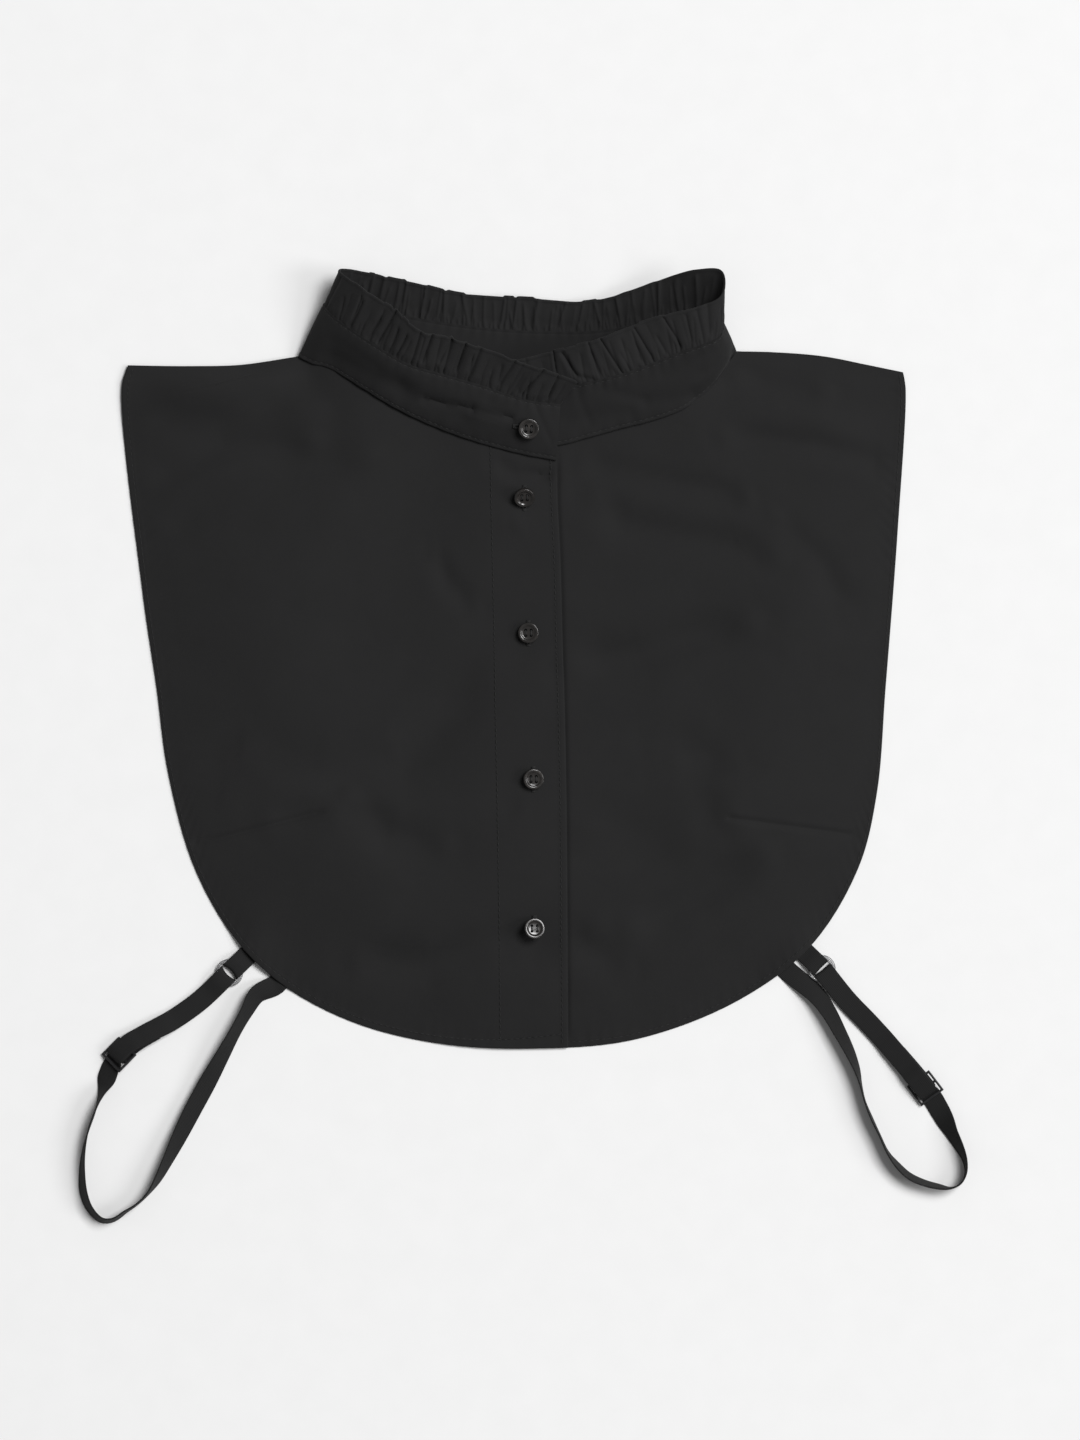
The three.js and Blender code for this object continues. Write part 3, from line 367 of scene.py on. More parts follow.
class Line:
    """A smooth curve, read by its parameter or by the distance along it."""

    def __init__(self, points, steps=1600):
        self.points = np.asarray(points, float)
        self.t = np.linspace(0, 1, steps + 1)
        self.dense = through(self.points, self.t)
        self.far = distances_along(self.dense)
        self.length = self.far[-1]

    def at(self, distance):
        return columns_at(distance, self.far, self.dense)

    def part(self, t):
        return through(self.points, np.atleast_1d(t))

    def parameter(self, distance):
        return np.interp(distance, self.far, self.t)

    def nearest(self, target):
        gaps = np.linalg.norm(self.dense[:, :2] - np.asarray(target)[:2], axis=1)
        return self.far[int(np.argmin(gaps))]


LATTICE = 64
FAR_OFF = 1000.0  # in humps, so that the lattice isn't read below zero


def humps(x, y, size, seed):
    """Smooth random heights from -1 to 1, about size from hump to hump."""
    lattice = np.random.default_rng(seed).uniform(-1, 1, (LATTICE, LATTICE))
    u = np.asarray(x) / size + FAR_OFF
    v = np.asarray(y) / size + FAR_OFF
    i = np.floor(u).astype(int)
    j = np.floor(v).astype(int)
    s = ease(u - i)
    t = ease(v - j)

    def row(k):
        return lattice[i % LATTICE, k % LATTICE] * (1 - s) + lattice[(i + 1) % LATTICE, k % LATTICE] * s

    return row(j) * (1 - t) + row(j + 1) * t


# Materials
BANDS_PER_UNIT = 2 * math.pi / 20  # a wave texture's own period at scale 1


class Recipe:
    """A material's nodes, on coordinates of its own."""

    def __init__(self, name, coordinates="Object"):
        self.material = bpy.data.materials.new(name)
        self.material.use_nodes = True
        self.tree = self.material.node_tree
        self.laid = self.place(coordinates)

    def fill(self, node, inputs):
        """Sets a node's inputs to values, or joins them to other nodes' outputs."""
        for socket, value in inputs.items():
            if isinstance(value, bpy.types.NodeSocket):
                self.tree.links.new(value, node.inputs[socket])
            else:
                node.inputs[socket].default_value = value

    def node(self, kind, inputs, output=0, **settings):
        made = self.tree.nodes.new(kind)
        for key, value in settings.items():
            setattr(made, key, value)
        self.fill(made, inputs)
        return made.outputs[output]

    def place(self, coordinates, scale=(1, 1, 1)):
        where = self.node("ShaderNodeTexCoord", {}, coordinates)
        return self.node("ShaderNodeMapping", {"Vector": where, "Scale": scale})

    def noise(self, scale, detail=2.0, roughness=0.5, distortion=0.0, laid=None):
        return self.node("ShaderNodeTexNoise", {
            "Vector": laid or self.laid, "Scale": scale, "Detail": detail, "Roughness": roughness,
            "Distortion": distortion}, "Fac")

    def bands(self, period, direction, distortion=0.0):
        return self.node("ShaderNodeTexWave", {
            "Vector": self.laid, "Scale": BANDS_PER_UNIT / (period * MM), "Distortion": distortion,
            "Detail": 1.0}, "Fac", wave_type="BANDS", bands_direction=direction)

    def weigh(self, value, share, added=0.0):
        return self.node("ShaderNodeMath", {0: value, 1: share, 2: added}, operation="MULTIPLY_ADD")

    def colours(self, value, stops):
        made = self.tree.nodes.new("ShaderNodeValToRGB")
        self.tree.links.new(value, made.inputs["Fac"])
        ramp_stops = made.color_ramp.elements
        while len(ramp_stops) < len(stops):
            ramp_stops.new(0.5)
        for stop, (position, colour) in zip(ramp_stops, stops):
            stop.position = position
            stop.color = (*colour, 1.0)
        return made.outputs["Color"]

    def bump(self, height, depth, strength, over=None):
        inputs = {"Height": height, "Distance": depth * MM, "Strength": strength}
        if over is not None:
            inputs["Normal"] = over
        return self.node("ShaderNodeBump", inputs)

    def finish(self, inputs):
        self.fill(self.tree.nodes["Principled BSDF"], inputs)
        return self.material


def times(shade, factor):
    return tuple(factor * part for part in shade)


YARN = 0.42  # from one warp yarn to the next
WEFT_SPREAD = 1.25
SLUB_SCALE = (260, 2600, 260)


def poplin_material(name, coordinates, shade):
    recipe = Recipe(name, coordinates)
    woven = recipe.weigh(recipe.bands(YARN, "X", 0.4), recipe.bands(YARN * WEFT_SPREAD, "Y", 0.4))
    slubs = recipe.noise(1.0, laid=recipe.place(coordinates, SLUB_SCALE))
    grain = recipe.noise(1500.0, roughness=0.6)
    clouds = recipe.noise(42.0, detail=4.0, roughness=0.6, distortion=0.3)
    crumple = recipe.noise(120.0, detail=3.0, roughness=0.55)
    height = recipe.weigh(grain, 0.5, recipe.weigh(slubs, 0.8, woven))
    tone = recipe.weigh(clouds, 0.35, recipe.weigh(grain, 0.65))
    stops = [(0.25, times(shade, 0.82)), (0.5, shade), (0.75, times(shade, 1.2))]
    return recipe.finish({
        "Normal": recipe.bump(height, 0.05, 0.6, recipe.bump(crumple, 0.2, 0.35)),
        "Base Color": recipe.colours(tone, stops),
        "Roughness": recipe.weigh(grain, 0.12, 0.8),
        "Specular IOR Level": 0.25,
        "Sheen Weight": 0.04,
        "Sheen Roughness": 0.45,
    })


ELASTIC_RIB = 0.85
ELASTIC_ROW = 0.62


def elastic_material():
    recipe = Recipe("braided_elastic", "UV")
    ribs = recipe.bands(ELASTIC_RIB, "Y")
    rows = recipe.bands(ELASTIC_ROW, "X", 0.3)
    fuzz = recipe.noise(2600.0)
    height = recipe.weigh(fuzz, 0.3, recipe.weigh(rows, 0.6, ribs))
    return recipe.finish({
        "Normal": recipe.bump(height, 0.08, 0.6),
        "Base Color": recipe.colours(rows, [(0.0, (0.008,) * 3), (1.0, (0.0178, 0.0178, 0.0182))]),
        "Roughness": recipe.weigh(fuzz, 0.2, 0.72),
        "Specular IOR Level": 0.18,
        "Sheen Weight": 0.02,
    })


THREAD_TWIST = 0.35


def thread_material():
    recipe = Recipe("sewing_thread")
    twist = recipe.bands(THREAD_TWIST, "DIAGONAL")
    return recipe.finish({
        "Normal": recipe.bump(twist, 0.04, 0.6),
        "Base Color": recipe.colours(twist, [(0.0, (0.0135,) * 3), (1.0, (0.0265,) * 3)]),
        "Roughness": 0.65,
        "Specular IOR Level": 0.25,
    })


def resin_material():
    recipe = Recipe("smoky_button_resin")
    smoke = recipe.noise(190.0, detail=4.0, roughness=0.6, distortion=1.2)
    shades = [(0.3, (0.010, 0.009, 0.008)), (0.55, (0.018, 0.016, 0.015)), (0.78, (0.036, 0.032, 0.029))]
    marks = recipe.noise(900.0)
    return recipe.finish({
        "Base Color": recipe.colours(smoke, shades),
        "Roughness": recipe.weigh(marks, 0.1, 0.2),
        "Normal": recipe.bump(marks, 0.02, 0.3),
        "Coat Weight": 0.5,
        "Coat Roughness": 0.08,
    })


def moulded_material(name, shade, roughness, clear):
    recipe = Recipe(name)
    grain = recipe.noise(700.0, detail=3.0)
    return recipe.finish({
        "Base Color": recipe.colours(grain, [(0.3, times(shade, 0.92)), (0.7, times(shade, 1.1))]),
        "Roughness": recipe.weigh(grain, 0.15, roughness),
        "Normal": recipe.bump(grain, 0.03, 0.3),
        "Transmission Weight": clear,
    })


def floor_material():
    recipe = Recipe("pale_paper")
    grain = recipe.noise(60.0, detail=3.0)
    stops = [(0.3, (0.86,) * 3), (0.7, (0.875,) * 3)]
    return recipe.finish({"Base Color": recipe.colours(grain, stops), "Roughness": 0.9})


POPLIN_SHADE = (0.0121, 0.0120, 0.0123)
BAND_PAINTED_SHADE = (0.0112, 0.0111, 0.0114)  # painted shade: a darker colour than the rest of the poplin, standing in for the shade on the tilted collar band
poplin = poplin_material("cotton_poplin", "Object", POPLIN_SHADE)
poplin_on_ruffle = poplin_material("cotton_poplin_on_ruffle", "UV", POPLIN_SHADE)
# The band's poplin is darkened with painted shade, for the shade that falls on the tilted collar band
poplin_with_painted_band_shade = poplin_material("cotton_poplin_band_painted_shade", "UV", BAND_PAINTED_SHADE)
elastic = elastic_material()
thread = thread_material()
resin = resin_material()
ring_nylon = moulded_material("clear_ring_nylon", (0.5, 0.5, 0.51), 0.12, 0.75)
slider_nylon = moulded_material("black_slider_nylon", (0.01, 0.01, 0.011), 0.42, 0.0)


# Meshes from points in the drawing's frame
def finish_piece(name, shape, material, replaced=(), sharp=50):
    """A piece from its points, faces and place on the cloth, if its material reads that."""
    points, faces, uv = shape
    mesh = bpy.data.meshes.new(name)
    placed = (np.asarray(points, float) + SHIFT) * MM
    mesh.from_pydata(placed.tolist(), [], faces)
    mesh.validate()
    if uv is not None:
        layer = mesh.uv_layers.new(name="along_the_cloth")
        corners = np.zeros(len(mesh.loops), np.int32)
        mesh.loops.foreach_get("vertex_index", corners)
        layer.data.foreach_set("uv", (np.asarray(uv)[corners] * MM).ravel())
    mesh.shade_smooth()
    mesh.set_sharp_from_angle(angle=math.radians(sharp))
    mesh.materials.append(material)
    piece = put_in_scene(name, mesh)
    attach(piece, "root")
    if replaced:
        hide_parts(*replaced)
    return piece


def differences(points):
    """From the neighbour before to the neighbour after, along the first axis."""
    ahead = np.empty_like(points)
    ahead[1:-1] = points[2:] - points[:-2]
    ahead[0] = points[1] - points[0]
    ahead[-1] = points[-1] - points[-2]
    return ahead


def grid_normals(grid):
    up = differences(grid.transpose(1, 0, 2)).transpose(1, 0, 2)
    return unit(np.cross(differences(grid), up))


def quads(a, b, c, d):
    return np.stack([a.ravel(), b.ravel(), c.ravel(), d.ravel()], axis=1).tolist()


def sheet_mesh(grid, upper, lower, uv=None):
    """A closed sheet about grid[column][row], from lower to upper along its normal."""
    shape = grid.shape[:2]
    normals = grid_normals(grid)
    layers = [grid + normals * np.broadcast_to(half, shape)[..., None] for half in (upper, lower)]
    points = np.vstack([layer.reshape(-1, 3) for layer in layers])
    ids = np.arange(grid.size // 3).reshape(shape)
    under = ids + ids.size
    faces = (
        quads(ids[:-1, :-1], ids[1:, :-1], ids[1:, 1:], ids[:-1, 1:])
        + quads(under[:-1, :-1], under[:-1, 1:], under[1:, 1:], under[1:, :-1])
        + quads(ids[:-1, 0], under[:-1, 0], under[1:, 0], ids[1:, 0])
        + quads(ids[:-1, -1], ids[1:, -1], under[1:, -1], under[:-1, -1])
        + quads(ids[0, :-1], ids[0, 1:], under[0, 1:], under[0, :-1])
        + quads(ids[-1, :-1], under[-1, :-1], under[-1, 1:], ids[-1, 1:])
    )
    doubled = None if uv is None else np.tile(uv.reshape(-1, 2), (2, 1))
    return turned_out(points, faces, doubled)


FACES_TRIED = 4000


def turned_out(points, faces, uv=None):
    """A shape with its faces in the order that points them outwards."""
    volume = 0.0
    middle = points.mean(axis=0)
    for face in faces[:: max(1, len(faces) // FACES_TRIED)]:
        a, b, c = (points[i] - middle for i in face[:3])
        volume += a @ np.cross(b, c)
    return points, faces if volume > 0 else [face[::-1] for face in faces], uv


# The front's surface
def flat_on_table(points):
    return np.column_stack([np.asarray(points, float)[:, :2], np.zeros(len(points))])


side_hem = Line(flat_on_table(OUTLINE))


def side_hem_points(count):
    return side_hem.at(np.linspace(0, side_hem.length, count))


side_hem_line = side_hem_points(121)[:, :2]
collar_base = COLLAR[:, :2]
left_shoulder = np.array([collar_base[LEFT_FOLD], *LEFT_SHOULDER, OUTLINE[0]])
right_shoulder = np.array([collar_base[RIGHT_FOLD], *RIGHT_SHOULDER, OUTLINE[-1]])


def fullness_at(xy):
    from_side = distance_to_line(xy, side_hem_line)
    from_shoulder = np.minimum(distance_to_line(xy, left_shoulder), distance_to_line(xy, right_shoulder))
    return swell(from_side / SIDE_RUN) * swell(from_shoulder / SHOULDER_RUN)


def front_height(xy):
    xy = np.asarray(xy, float)
    fullness = fullness_at(xy)
    lifted = ramp(xy[..., 1], *SHOULDER_LIFT_RUN)
    z = EDGE_Z + SHOULDER_LIFT * lifted + DOME * fullness
    for x1, y1, x2, y2, width, height in FOLDS:
        z = z + height * bell(distance_to_segment(xy, (x1, y1), (x2, y2)), width) * fullness
    for x, y, height, width in LIFTS:
        z = z + height * bell(np.hypot(xy[..., 0] - x, xy[..., 1] - y), width)
    return z


def shown_overlap(x):
    """The shown cloth rises over the button side more gently than the solid does."""
    return OVERLAP_LIFT * ease(ramp(x, *SHOWN_OVERLAP))


def heights_of(surface, grid):
    """A surface's heights over the points of a grid."""
    return surface(grid[..., :2].reshape(-1, 2)).reshape(grid.shape[:2])


CREASE_END = 1.3  # a crease runs out over this many of its widths
DART_FADE = 5
FINE_FROM_FULLNESS = 0.3
SWELLS = [(0.4, 0.0, 46, 3), (0.16, 0.4, 21, 4), (0.03, 0.0, 9, 5)]  # height, slant, size, seed


def fine_creases(xy):
    """What the shown cloth has beyond the solid model: creases and soft hollows."""
    z = np.zeros(xy.shape[:-1])
    for line, width, height in CREASES:
        crease = CREASE_GAIN * height * bell(distance_to_line(xy, line), width)
        for end in (line[0], line[-1]):
            crease = crease * (1 - 0.9 * bell(distance_to_segment(xy, end, end), CREASE_END * width))
        z += crease
    x, y = xy[..., 0], xy[..., 1]
    for height, slant, size, seed in SWELLS:
        z += height * humps(x + slant * y, y, size, seed)
    z *= ramp(fullness_at(xy), 0.0, FINE_FROM_FULLNESS)
    for a, b in DARTS:
        depth = DART_DEPTH * ramp(distance_to_segment(xy, b, b), 0, DART_FADE)
        z -= depth * bell(distance_to_segment(xy, a, b), DART_WIDTH)
    return z


# Hems: a turned edge with a row of topstitching
HEM_STITCH = 3.0
HEM_ROUND = 0.45
HEM_RISE = 0.16
STITCH_DIP = 0.12
STITCH_DIP_WIDTH = 0.3


def round_edge(distance, radius, least):
    """From a small share at an edge to 1 at a radius from it, as a circle rises."""
    return np.sqrt(np.clip(1 - (1 - np.minimum(distance / radius, 1)) ** 2, least, 1))


def hem_profile(distance):
    """Height of the cloth's face over its middle at a distance from a hemmed edge."""
    edge = round_edge(distance, HEM_ROUND, 0.06)
    rise = HEM_RISE * (1 - ease(ramp(distance, HEM_STITCH + 0.5, HEM_STITCH + 1.3)))
    dip = STITCH_DIP * bell(distance - HEM_STITCH, STITCH_DIP_WIDTH)
    return (POPLIN + rise) * edge - dip


HEM_ROWS = [0, 0.12, 0.35, 0.8, 1.6, 2.3, 2.7, 3.0, 3.3, 3.8, 4.4, 5.4, 7, 9.5, 13]


# A front panel is a fan of columns from the neckline out to the side and hem
CAD_COLUMNS = 20
PLACKET_COLUMNS = [49, 36, 24, 12, 0]
TAB_DENSITY = 2.6
TAB_REACH = 24
EDGE_HOLD = 8
CROWD_STEPS = 200
FAN_STEP = 1.6
CLOSE_ROWS = 6  # hem rows nearer than this also stand at a panel's side edges


def column_stops(length, tab_at):
    fan_length = length - PLACKET_COLUMNS[0]
    middles = fan_length * (np.arange(CROWD_STEPS) + 0.5) / CROWD_STEPS
    crowd = 0 if tab_at is None else TAB_DENSITY * np.exp(-(((middles - tab_at) / TAB_REACH) ** 2))
    sums = np.concatenate([[0], np.cumsum(1 + crowd + np.zeros(CROWD_STEPS))])
    wanted = sums[-1] * np.arange(CAD_COLUMNS) / CAD_COLUMNS
    stops = fan_length * np.searchsorted(sums, wanted) / CROWD_STEPS
    return np.concatenate([stops, [length - distance for distance in PLACKET_COLUMNS]])


def panel_columns(length, edge_stops):
    """Distances along the hem, close together at both ends and where a line is sewn."""
    stops = set(np.linspace(0, length, int(length / FAN_STEP) + 1).round(3))
    near = [d for d in HEM_ROWS if d < CLOSE_ROWS]
    stops |= {round(d, 3) for d in near} | {round(length - d, 3) for d in near}
    stops |= {round(length - d, 3) for d in edge_stops}
    kept = sorted(stops)
    return np.array([s for i, s in enumerate(kept) if i == 0 or s - kept[i - 1] > 0.05])


INNER_ROWS = 84
DART_CROWD = 7.0
DART_REACH = 0.022
DART_MEETS = (0.2, 1.4)  # a line met outside these shares draws the rows no further
DART_STEPS = 800


def rows_near_dart(start, end, last, dart):
    """Shares along a column, closer together where the column meets the dart's line."""
    first, second = np.array(dart)
    across = unit((second - first) @ [[0, 1], [-1, 0]])
    at_start, at_end = ((point[:2] - first) @ across for point in (start, end))
    meets = np.clip(at_start / (at_start - at_end), *DART_MEETS)
    steps = np.linspace(0, last, DART_STEPS)
    dense = 1 + DART_CROWD * bell(steps - meets, DART_REACH)
    sums = np.concatenate([[0], np.cumsum((dense[1:] + dense[:-1]) / 2)])
    return np.interp(np.linspace(0, sums[-1], INNER_ROWS), sums, steps)


def fan_grid(neckline, outer, shoulder, centre, tab, edge_stops, dart):
    cad_outer = column_stops(outer.length, outer.nearest(tab))
    cad_neck = column_stops(neckline.length, None)
    index = np.arange(len(cad_outer))
    stops = panel_columns(outer.length, edge_stops)
    at = np.interp(stops, cad_outer, index)
    start = neckline.at(np.interp(at, index, cad_neck))
    end = outer.at(stops)
    share = at / index[-1]
    lengths = np.linalg.norm(end - start, axis=1)
    columns = []
    for k, length in enumerate(lengths):
        hem = 1 - np.array(HEM_ROWS[::-1]) / length
        rows = np.concatenate([rows_near_dart(start[k], end[k], hem[0], dart)[:-1], hem])
        point = start[k] + (end[k] - start[k]) * rows[:, None]
        for edge, weight in ((shoulder, (1 - share[k]) ** EDGE_HOLD), (centre, share[k] ** EDGE_HOLD)):
            ends = edge.part([0, 1])
            chord = ends[0] + (ends[1] - ends[0]) * rows[:, None]
            point = point + (edge.part(rows) - chord) * weight
        columns.append(point)
    return np.array(columns), stops


def neck_points(first, last, taper_first, taper_last):
    rows = COLLAR[first:last + 1]
    up = unit(rows[:, 3:5] - rows[:, :2]) * LIP
    if taper_first:
        up[0] = 0
    if taper_last:
        up[-1] = 0
    return np.column_stack([rows[:, :2] + up, np.zeros(len(rows))])


def part_of_outline(starts_left, centre_x):
    """The side and hem from one shoulder tip to the centre edge."""
    points = side_hem_points(241)
    if not starts_left:
        points = points[::-1]
    beyond = points[:, 0] > centre_x if starts_left else points[:, 0] < centre_x
    end = int(np.argmax((points[:, 1] < 0) & beyond))
    before, after = points[end - 1], points[end]
    t = (centre_x - before[0]) / (after[0] - before[0])
    return Line(np.vstack([points[:end - 1], before + (after - before) * t]))


PUCKER = 0.13
PUCKER_LENGTH = 7.2


def pucker_along(stops, edge_distance):
    """Small ripples that a line of stitches draws up along a hem."""
    phase = 2 * math.pi * stops / PUCKER_LENGTH + 1.6 * humps(stops, 0 * stops, 17, 11)
    size = PUCKER * (0.6 + 0.7 * humps(stops, 0 * stops + 9, 30, 12))
    return (size * np.sin(phase))[:, None] * bell(edge_distance - 3.5, 3.6)


def panel_surface(grid, stops, lift):
    """Places the fan's points on the front's surface, and gives the distance from its outer hem."""
    outline = side_hem_points(400)[:, :2]
    hem = heights_of(lambda xy: distance_to_line(xy, outline), grid)
    placed = grid.copy()
    placed[..., 2] = heights_of(front_height, grid) + heights_of(fine_creases, grid)
    placed[..., 2] += pucker_along(stops, hem)
    if lift:
        placed[..., 2] += shown_overlap(grid[..., 0])
    return placed, hem


# The placket's fold and its stitch lines, as distances from its edge
PLACKET_EDGE_STITCH = 3.0
PLACKET_INNER = 36.0
PLACKET_INNER_STITCH = PLACKET_INNER - 2.2
PLACKET_STEP = 0.2
PLACKET_DIP = 0.07
ROWS_AT_INNER = [-3.0, -2.5, -2.2, -1.9, -1.4, -0.5, -0.2, 0.15, 0.5, 1.0, 2.0]
ROWS_UNDER_EDGE = np.arange(27, 39, 0.5)
PRESS_DEPTH = 0.6  # the placket's edge presses into the panel below it
PRESS_AT = -0.2
PRESS_WIDTH = 1.0
PRESS_TOP = (146, 138)
PRESS_HEM = (2, 10)


def from_placket_edge(xy):
    """Distance to the left of the placket's edge."""
    x, y = np.array(PLACKET).T
    return np.interp(-xy[..., 1], -y, x) - xy[..., 0]


def placket_profile(distance):
    """The placket is one more layer between its edge and its inner fold."""
    step = PLACKET_STEP * (1 - ease(ramp(distance, PLACKET_INNER - 0.2, PLACKET_INNER + 0.6)))
    return step - PLACKET_DIP * bell(distance - PLACKET_INNER_STITCH, STITCH_DIP_WIDTH)


def left_front_panel():
    neckline = Line(neck_points(0, LEFT_FOLD, False, True)[::-1])
    outer = part_of_outline(True, PLACKET[-1][0])
    centre = Line(np.vstack([neckline.points[-1:], flat_on_table(PLACKET[:-1]), outer.points[-1:]]))
    sewn = [PLACKET_INNER + d for d in ROWS_AT_INNER]
    shoulder = Line(flat_on_table(left_shoulder))
    grid, stops = fan_grid(neckline, outer, shoulder, centre, LIFTS[0][:2], sewn, DARTS[0])
    placed, hem = panel_surface(grid, stops, True)
    edge = from_placket_edge(placed[..., :2])
    nearest = np.minimum(hem, np.maximum(edge, 0))
    upper = hem_profile(nearest) + placket_profile(edge)
    sew_along(placed, upper, row=HEM_STITCH_ROW)
    for distance in (PLACKET_EDGE_STITCH, PLACKET_INNER_STITCH):
        sew_along(placed, upper, column=int(np.argmin(np.abs(stops - (stops[-1] - distance)))))
    return finish_piece("left_front", sheet_mesh(placed, upper, -hem_profile(nearest)), poplin,
                        ["front_left_panel"])


def right_front_panel():
    neck = neck_points(RIGHT_FOLD, SECTIONS, True, False)
    neckline = Line(np.vstack([neck, [UNDERLAP_X, neck[-1, 1] + 0.3, 0]]))
    outer = part_of_outline(False, UNDERLAP_X)
    centre = Line(np.vstack([neckline.points[-1:], outer.points[-1:]]))
    shoulder = Line(flat_on_table(right_shoulder))
    grid, stops = fan_grid(neckline, outer, shoulder, centre, LIFTS[2][:2], ROWS_UNDER_EDGE, DARTS[1])
    placed, hem = panel_surface(grid, stops, False)
    pressed = PRESS_DEPTH * bell(-from_placket_edge(placed[..., :2]) - PRESS_AT, PRESS_WIDTH)
    placed[..., 2] -= pressed * ramp(placed[..., 1], *PRESS_TOP) * ramp(hem, *PRESS_HEM)
    edge = np.maximum(placed[..., 0] - UNDERLAP_X, 0)
    upper = hem_profile(np.minimum(hem, edge))
    sew_along(placed, upper, row=HEM_STITCH_ROW)
    return finish_piece("right_front", sheet_mesh(placed, upper, -upper), poplin,
                        ["front_right_panel"])


# The back panel is flat on the table, cut smaller than the front at the sides and hem
def back_outline(steps=64):
    distances = np.linspace(0, side_hem.length, steps + 1)
    points = side_hem.at(distances)[:, :2]
    tangents = unit(side_hem.at(distances + 0.5)[:, :2] - side_hem.at(distances - 0.5)[:, :2])
    tip_y = np.where(np.arange(steps + 1) < steps / 2, OUTLINE[0][1], OUTLINE[-1][1])
    inset = BACK_INSET * ease(np.clip((tip_y - points[:, 1]) / BACK_INSET_RUN, 0, 1))
    inward = np.column_stack([-tangents[:, 1], tangents[:, 0]])
    return points + inward * inset[:, None]


BACK_MIDDLE = np.array([0.0, 20.0])
BACK_Z = 0.52
BACK_STEP = 2.4
BACK_ROWS = 46
BACK_HOLE = 0.02  # the innermost row's size, and one face closes it
BACK_LEAST_REACH = 40
BACK_SHARE = 0.8  # of the front's thickness
BACK_WAVE = 0.1


def back_panel():
    outline = np.vstack([
        back_outline(),
        right_shoulder[:-1][::-1],
        neck_points(LEFT_FOLD + 1, RIGHT_FOLD - 1, False, False)[::-1, :2],
        left_shoulder[:-1],
    ])
    closed = np.vstack([outline, outline[:1]])
    far = distances_along(closed)
    stops = np.linspace(0, far[-1], int(far[-1] / BACK_STEP))[:-1]
    ring = columns_at(stops, far, closed)
    tangent = unit(np.roll(ring, -1, axis=0) - np.roll(ring, 1, axis=0))
    reach = ring - BACK_MIDDLE
    square = np.abs(tangent[:, 0] * reach[:, 1] - tangent[:, 1] * reach[:, 0])
    hem = 1 - np.array(HEM_ROWS)[:, None] / np.maximum(square, BACK_LEAST_REACH)
    scale = np.vstack([hem, hem[-1] * np.linspace(1, BACK_HOLE, BACK_ROWS)[1:, None]])
    grid = BACK_MIDDLE + reach[:, None, :] * scale.T[..., None]
    half = BACK_SHARE * hem_profile(heights_of(lambda xy: distance_to_line(xy, closed), grid))
    z = BACK_Z + heights_of(lambda xy: BACK_WAVE * humps(*xy.T, 40, 21), grid)
    points = np.vstack([np.dstack([grid, face]).reshape(-1, 3) for face in (z + half, z - half)])
    ids = np.arange(z.size).reshape(z.shape)
    after = np.roll(ids, -1, axis=0)
    under = ids + z.size
    under_after = after + z.size
    faces = (
        quads(ids[:, :-1], after[:, :-1], after[:, 1:], ids[:, 1:])
        + quads(under[:, :-1], under[:, 1:], under_after[:, 1:], under_after[:, :-1])
        + quads(ids[:, 0], under[:, 0], under_after[:, 0], after[:, 0])
        + [ids[:, -1].tolist(), under[::-1, -1].tolist()]
    )
    return finish_piece("back", turned_out(points, faces), poplin, ["back_panel"])


# Collar band and ruffle
def base_heights():
    lies = COLLAR[:, 2]
    on_front = front_height(COLLAR[:, :2]) + CLOTH / 2 + GAP + BAND / 2
    lift = OVERLAP_LIFT * ramp(COLLAR[:, 0] + BASE_LEAD, *OVERLAP_RUN)
    return np.where(lies < 0, on_front + np.where(lies == OVER, lift, 0), lies)


COLLAR_STEPS = 4000
base_curve = Line(np.column_stack([COLLAR[:, :2], base_heights()]), COLLAR_STEPS)
seam_curve = Line(COLLAR[:, 3:6], COLLAR_STEPS)
frill_curve = Line(COLLAR[:, 6:9], COLLAR_STEPS)


def bow_at(t):
    return np.interp(t * SECTIONS, np.arange(SECTIONS + 1), COLLAR[:, 9])


def seam_tangent(t):
    after, before = (seam_curve.part(np.clip(t + shift, 0, 1)) for shift in (1e-4, -1e-4))
    return unit(after - before)


def outward_at(lower, upper, t):
    return unit(np.cross(upper.part(t) - lower.part(t), seam_tangent(t)))


def band_point(t, v):
    """Points of the collar band's middle, for lists t and v of one length."""
    t = np.atleast_1d(t)
    v = np.atleast_1d(v)[:, None]
    bulge = bow_at(t)[:, None] * 4 * v * (1 - v)
    base = base_curve.part(t)
    point = base + (seam_curve.part(t) - base) * v
    return point + outward_at(base_curve, seam_curve, t) * bulge


def drawn_on_strip(edges, first, last, drawn):
    """Lines drawn in plan, read in a strip's own measures: along the seam, and up from its lower edge."""
    shares = np.linspace(0, 1, 31)
    t = np.linspace(first / SECTIONS, last / SECTIONS, 500)
    low, high = edges(t)
    plan = low[:, None, :2] + (high - low)[:, None, :2] * shares[None, :, None]
    height = np.linalg.norm(high - low, axis=1)
    far = np.interp(t, seam_curve.t, seam_curve.far)
    found = []
    for x1, y1, x2, y2, width, depth in drawn:
        ends = []
        for x, y in ((x1, y1), (x2, y2)):
            gaps = np.hypot(plan[..., 0] - x, plan[..., 1] - y)
            i, j = np.unravel_index(int(np.argmin(gaps)), gaps.shape)
            ends.append((far[i], shares[j] * height[i]))
        found.append((ends[0], ends[1], width, depth))
    return found


def band_edges(t):
    return base_curve.part(t), seam_curve.part(t)


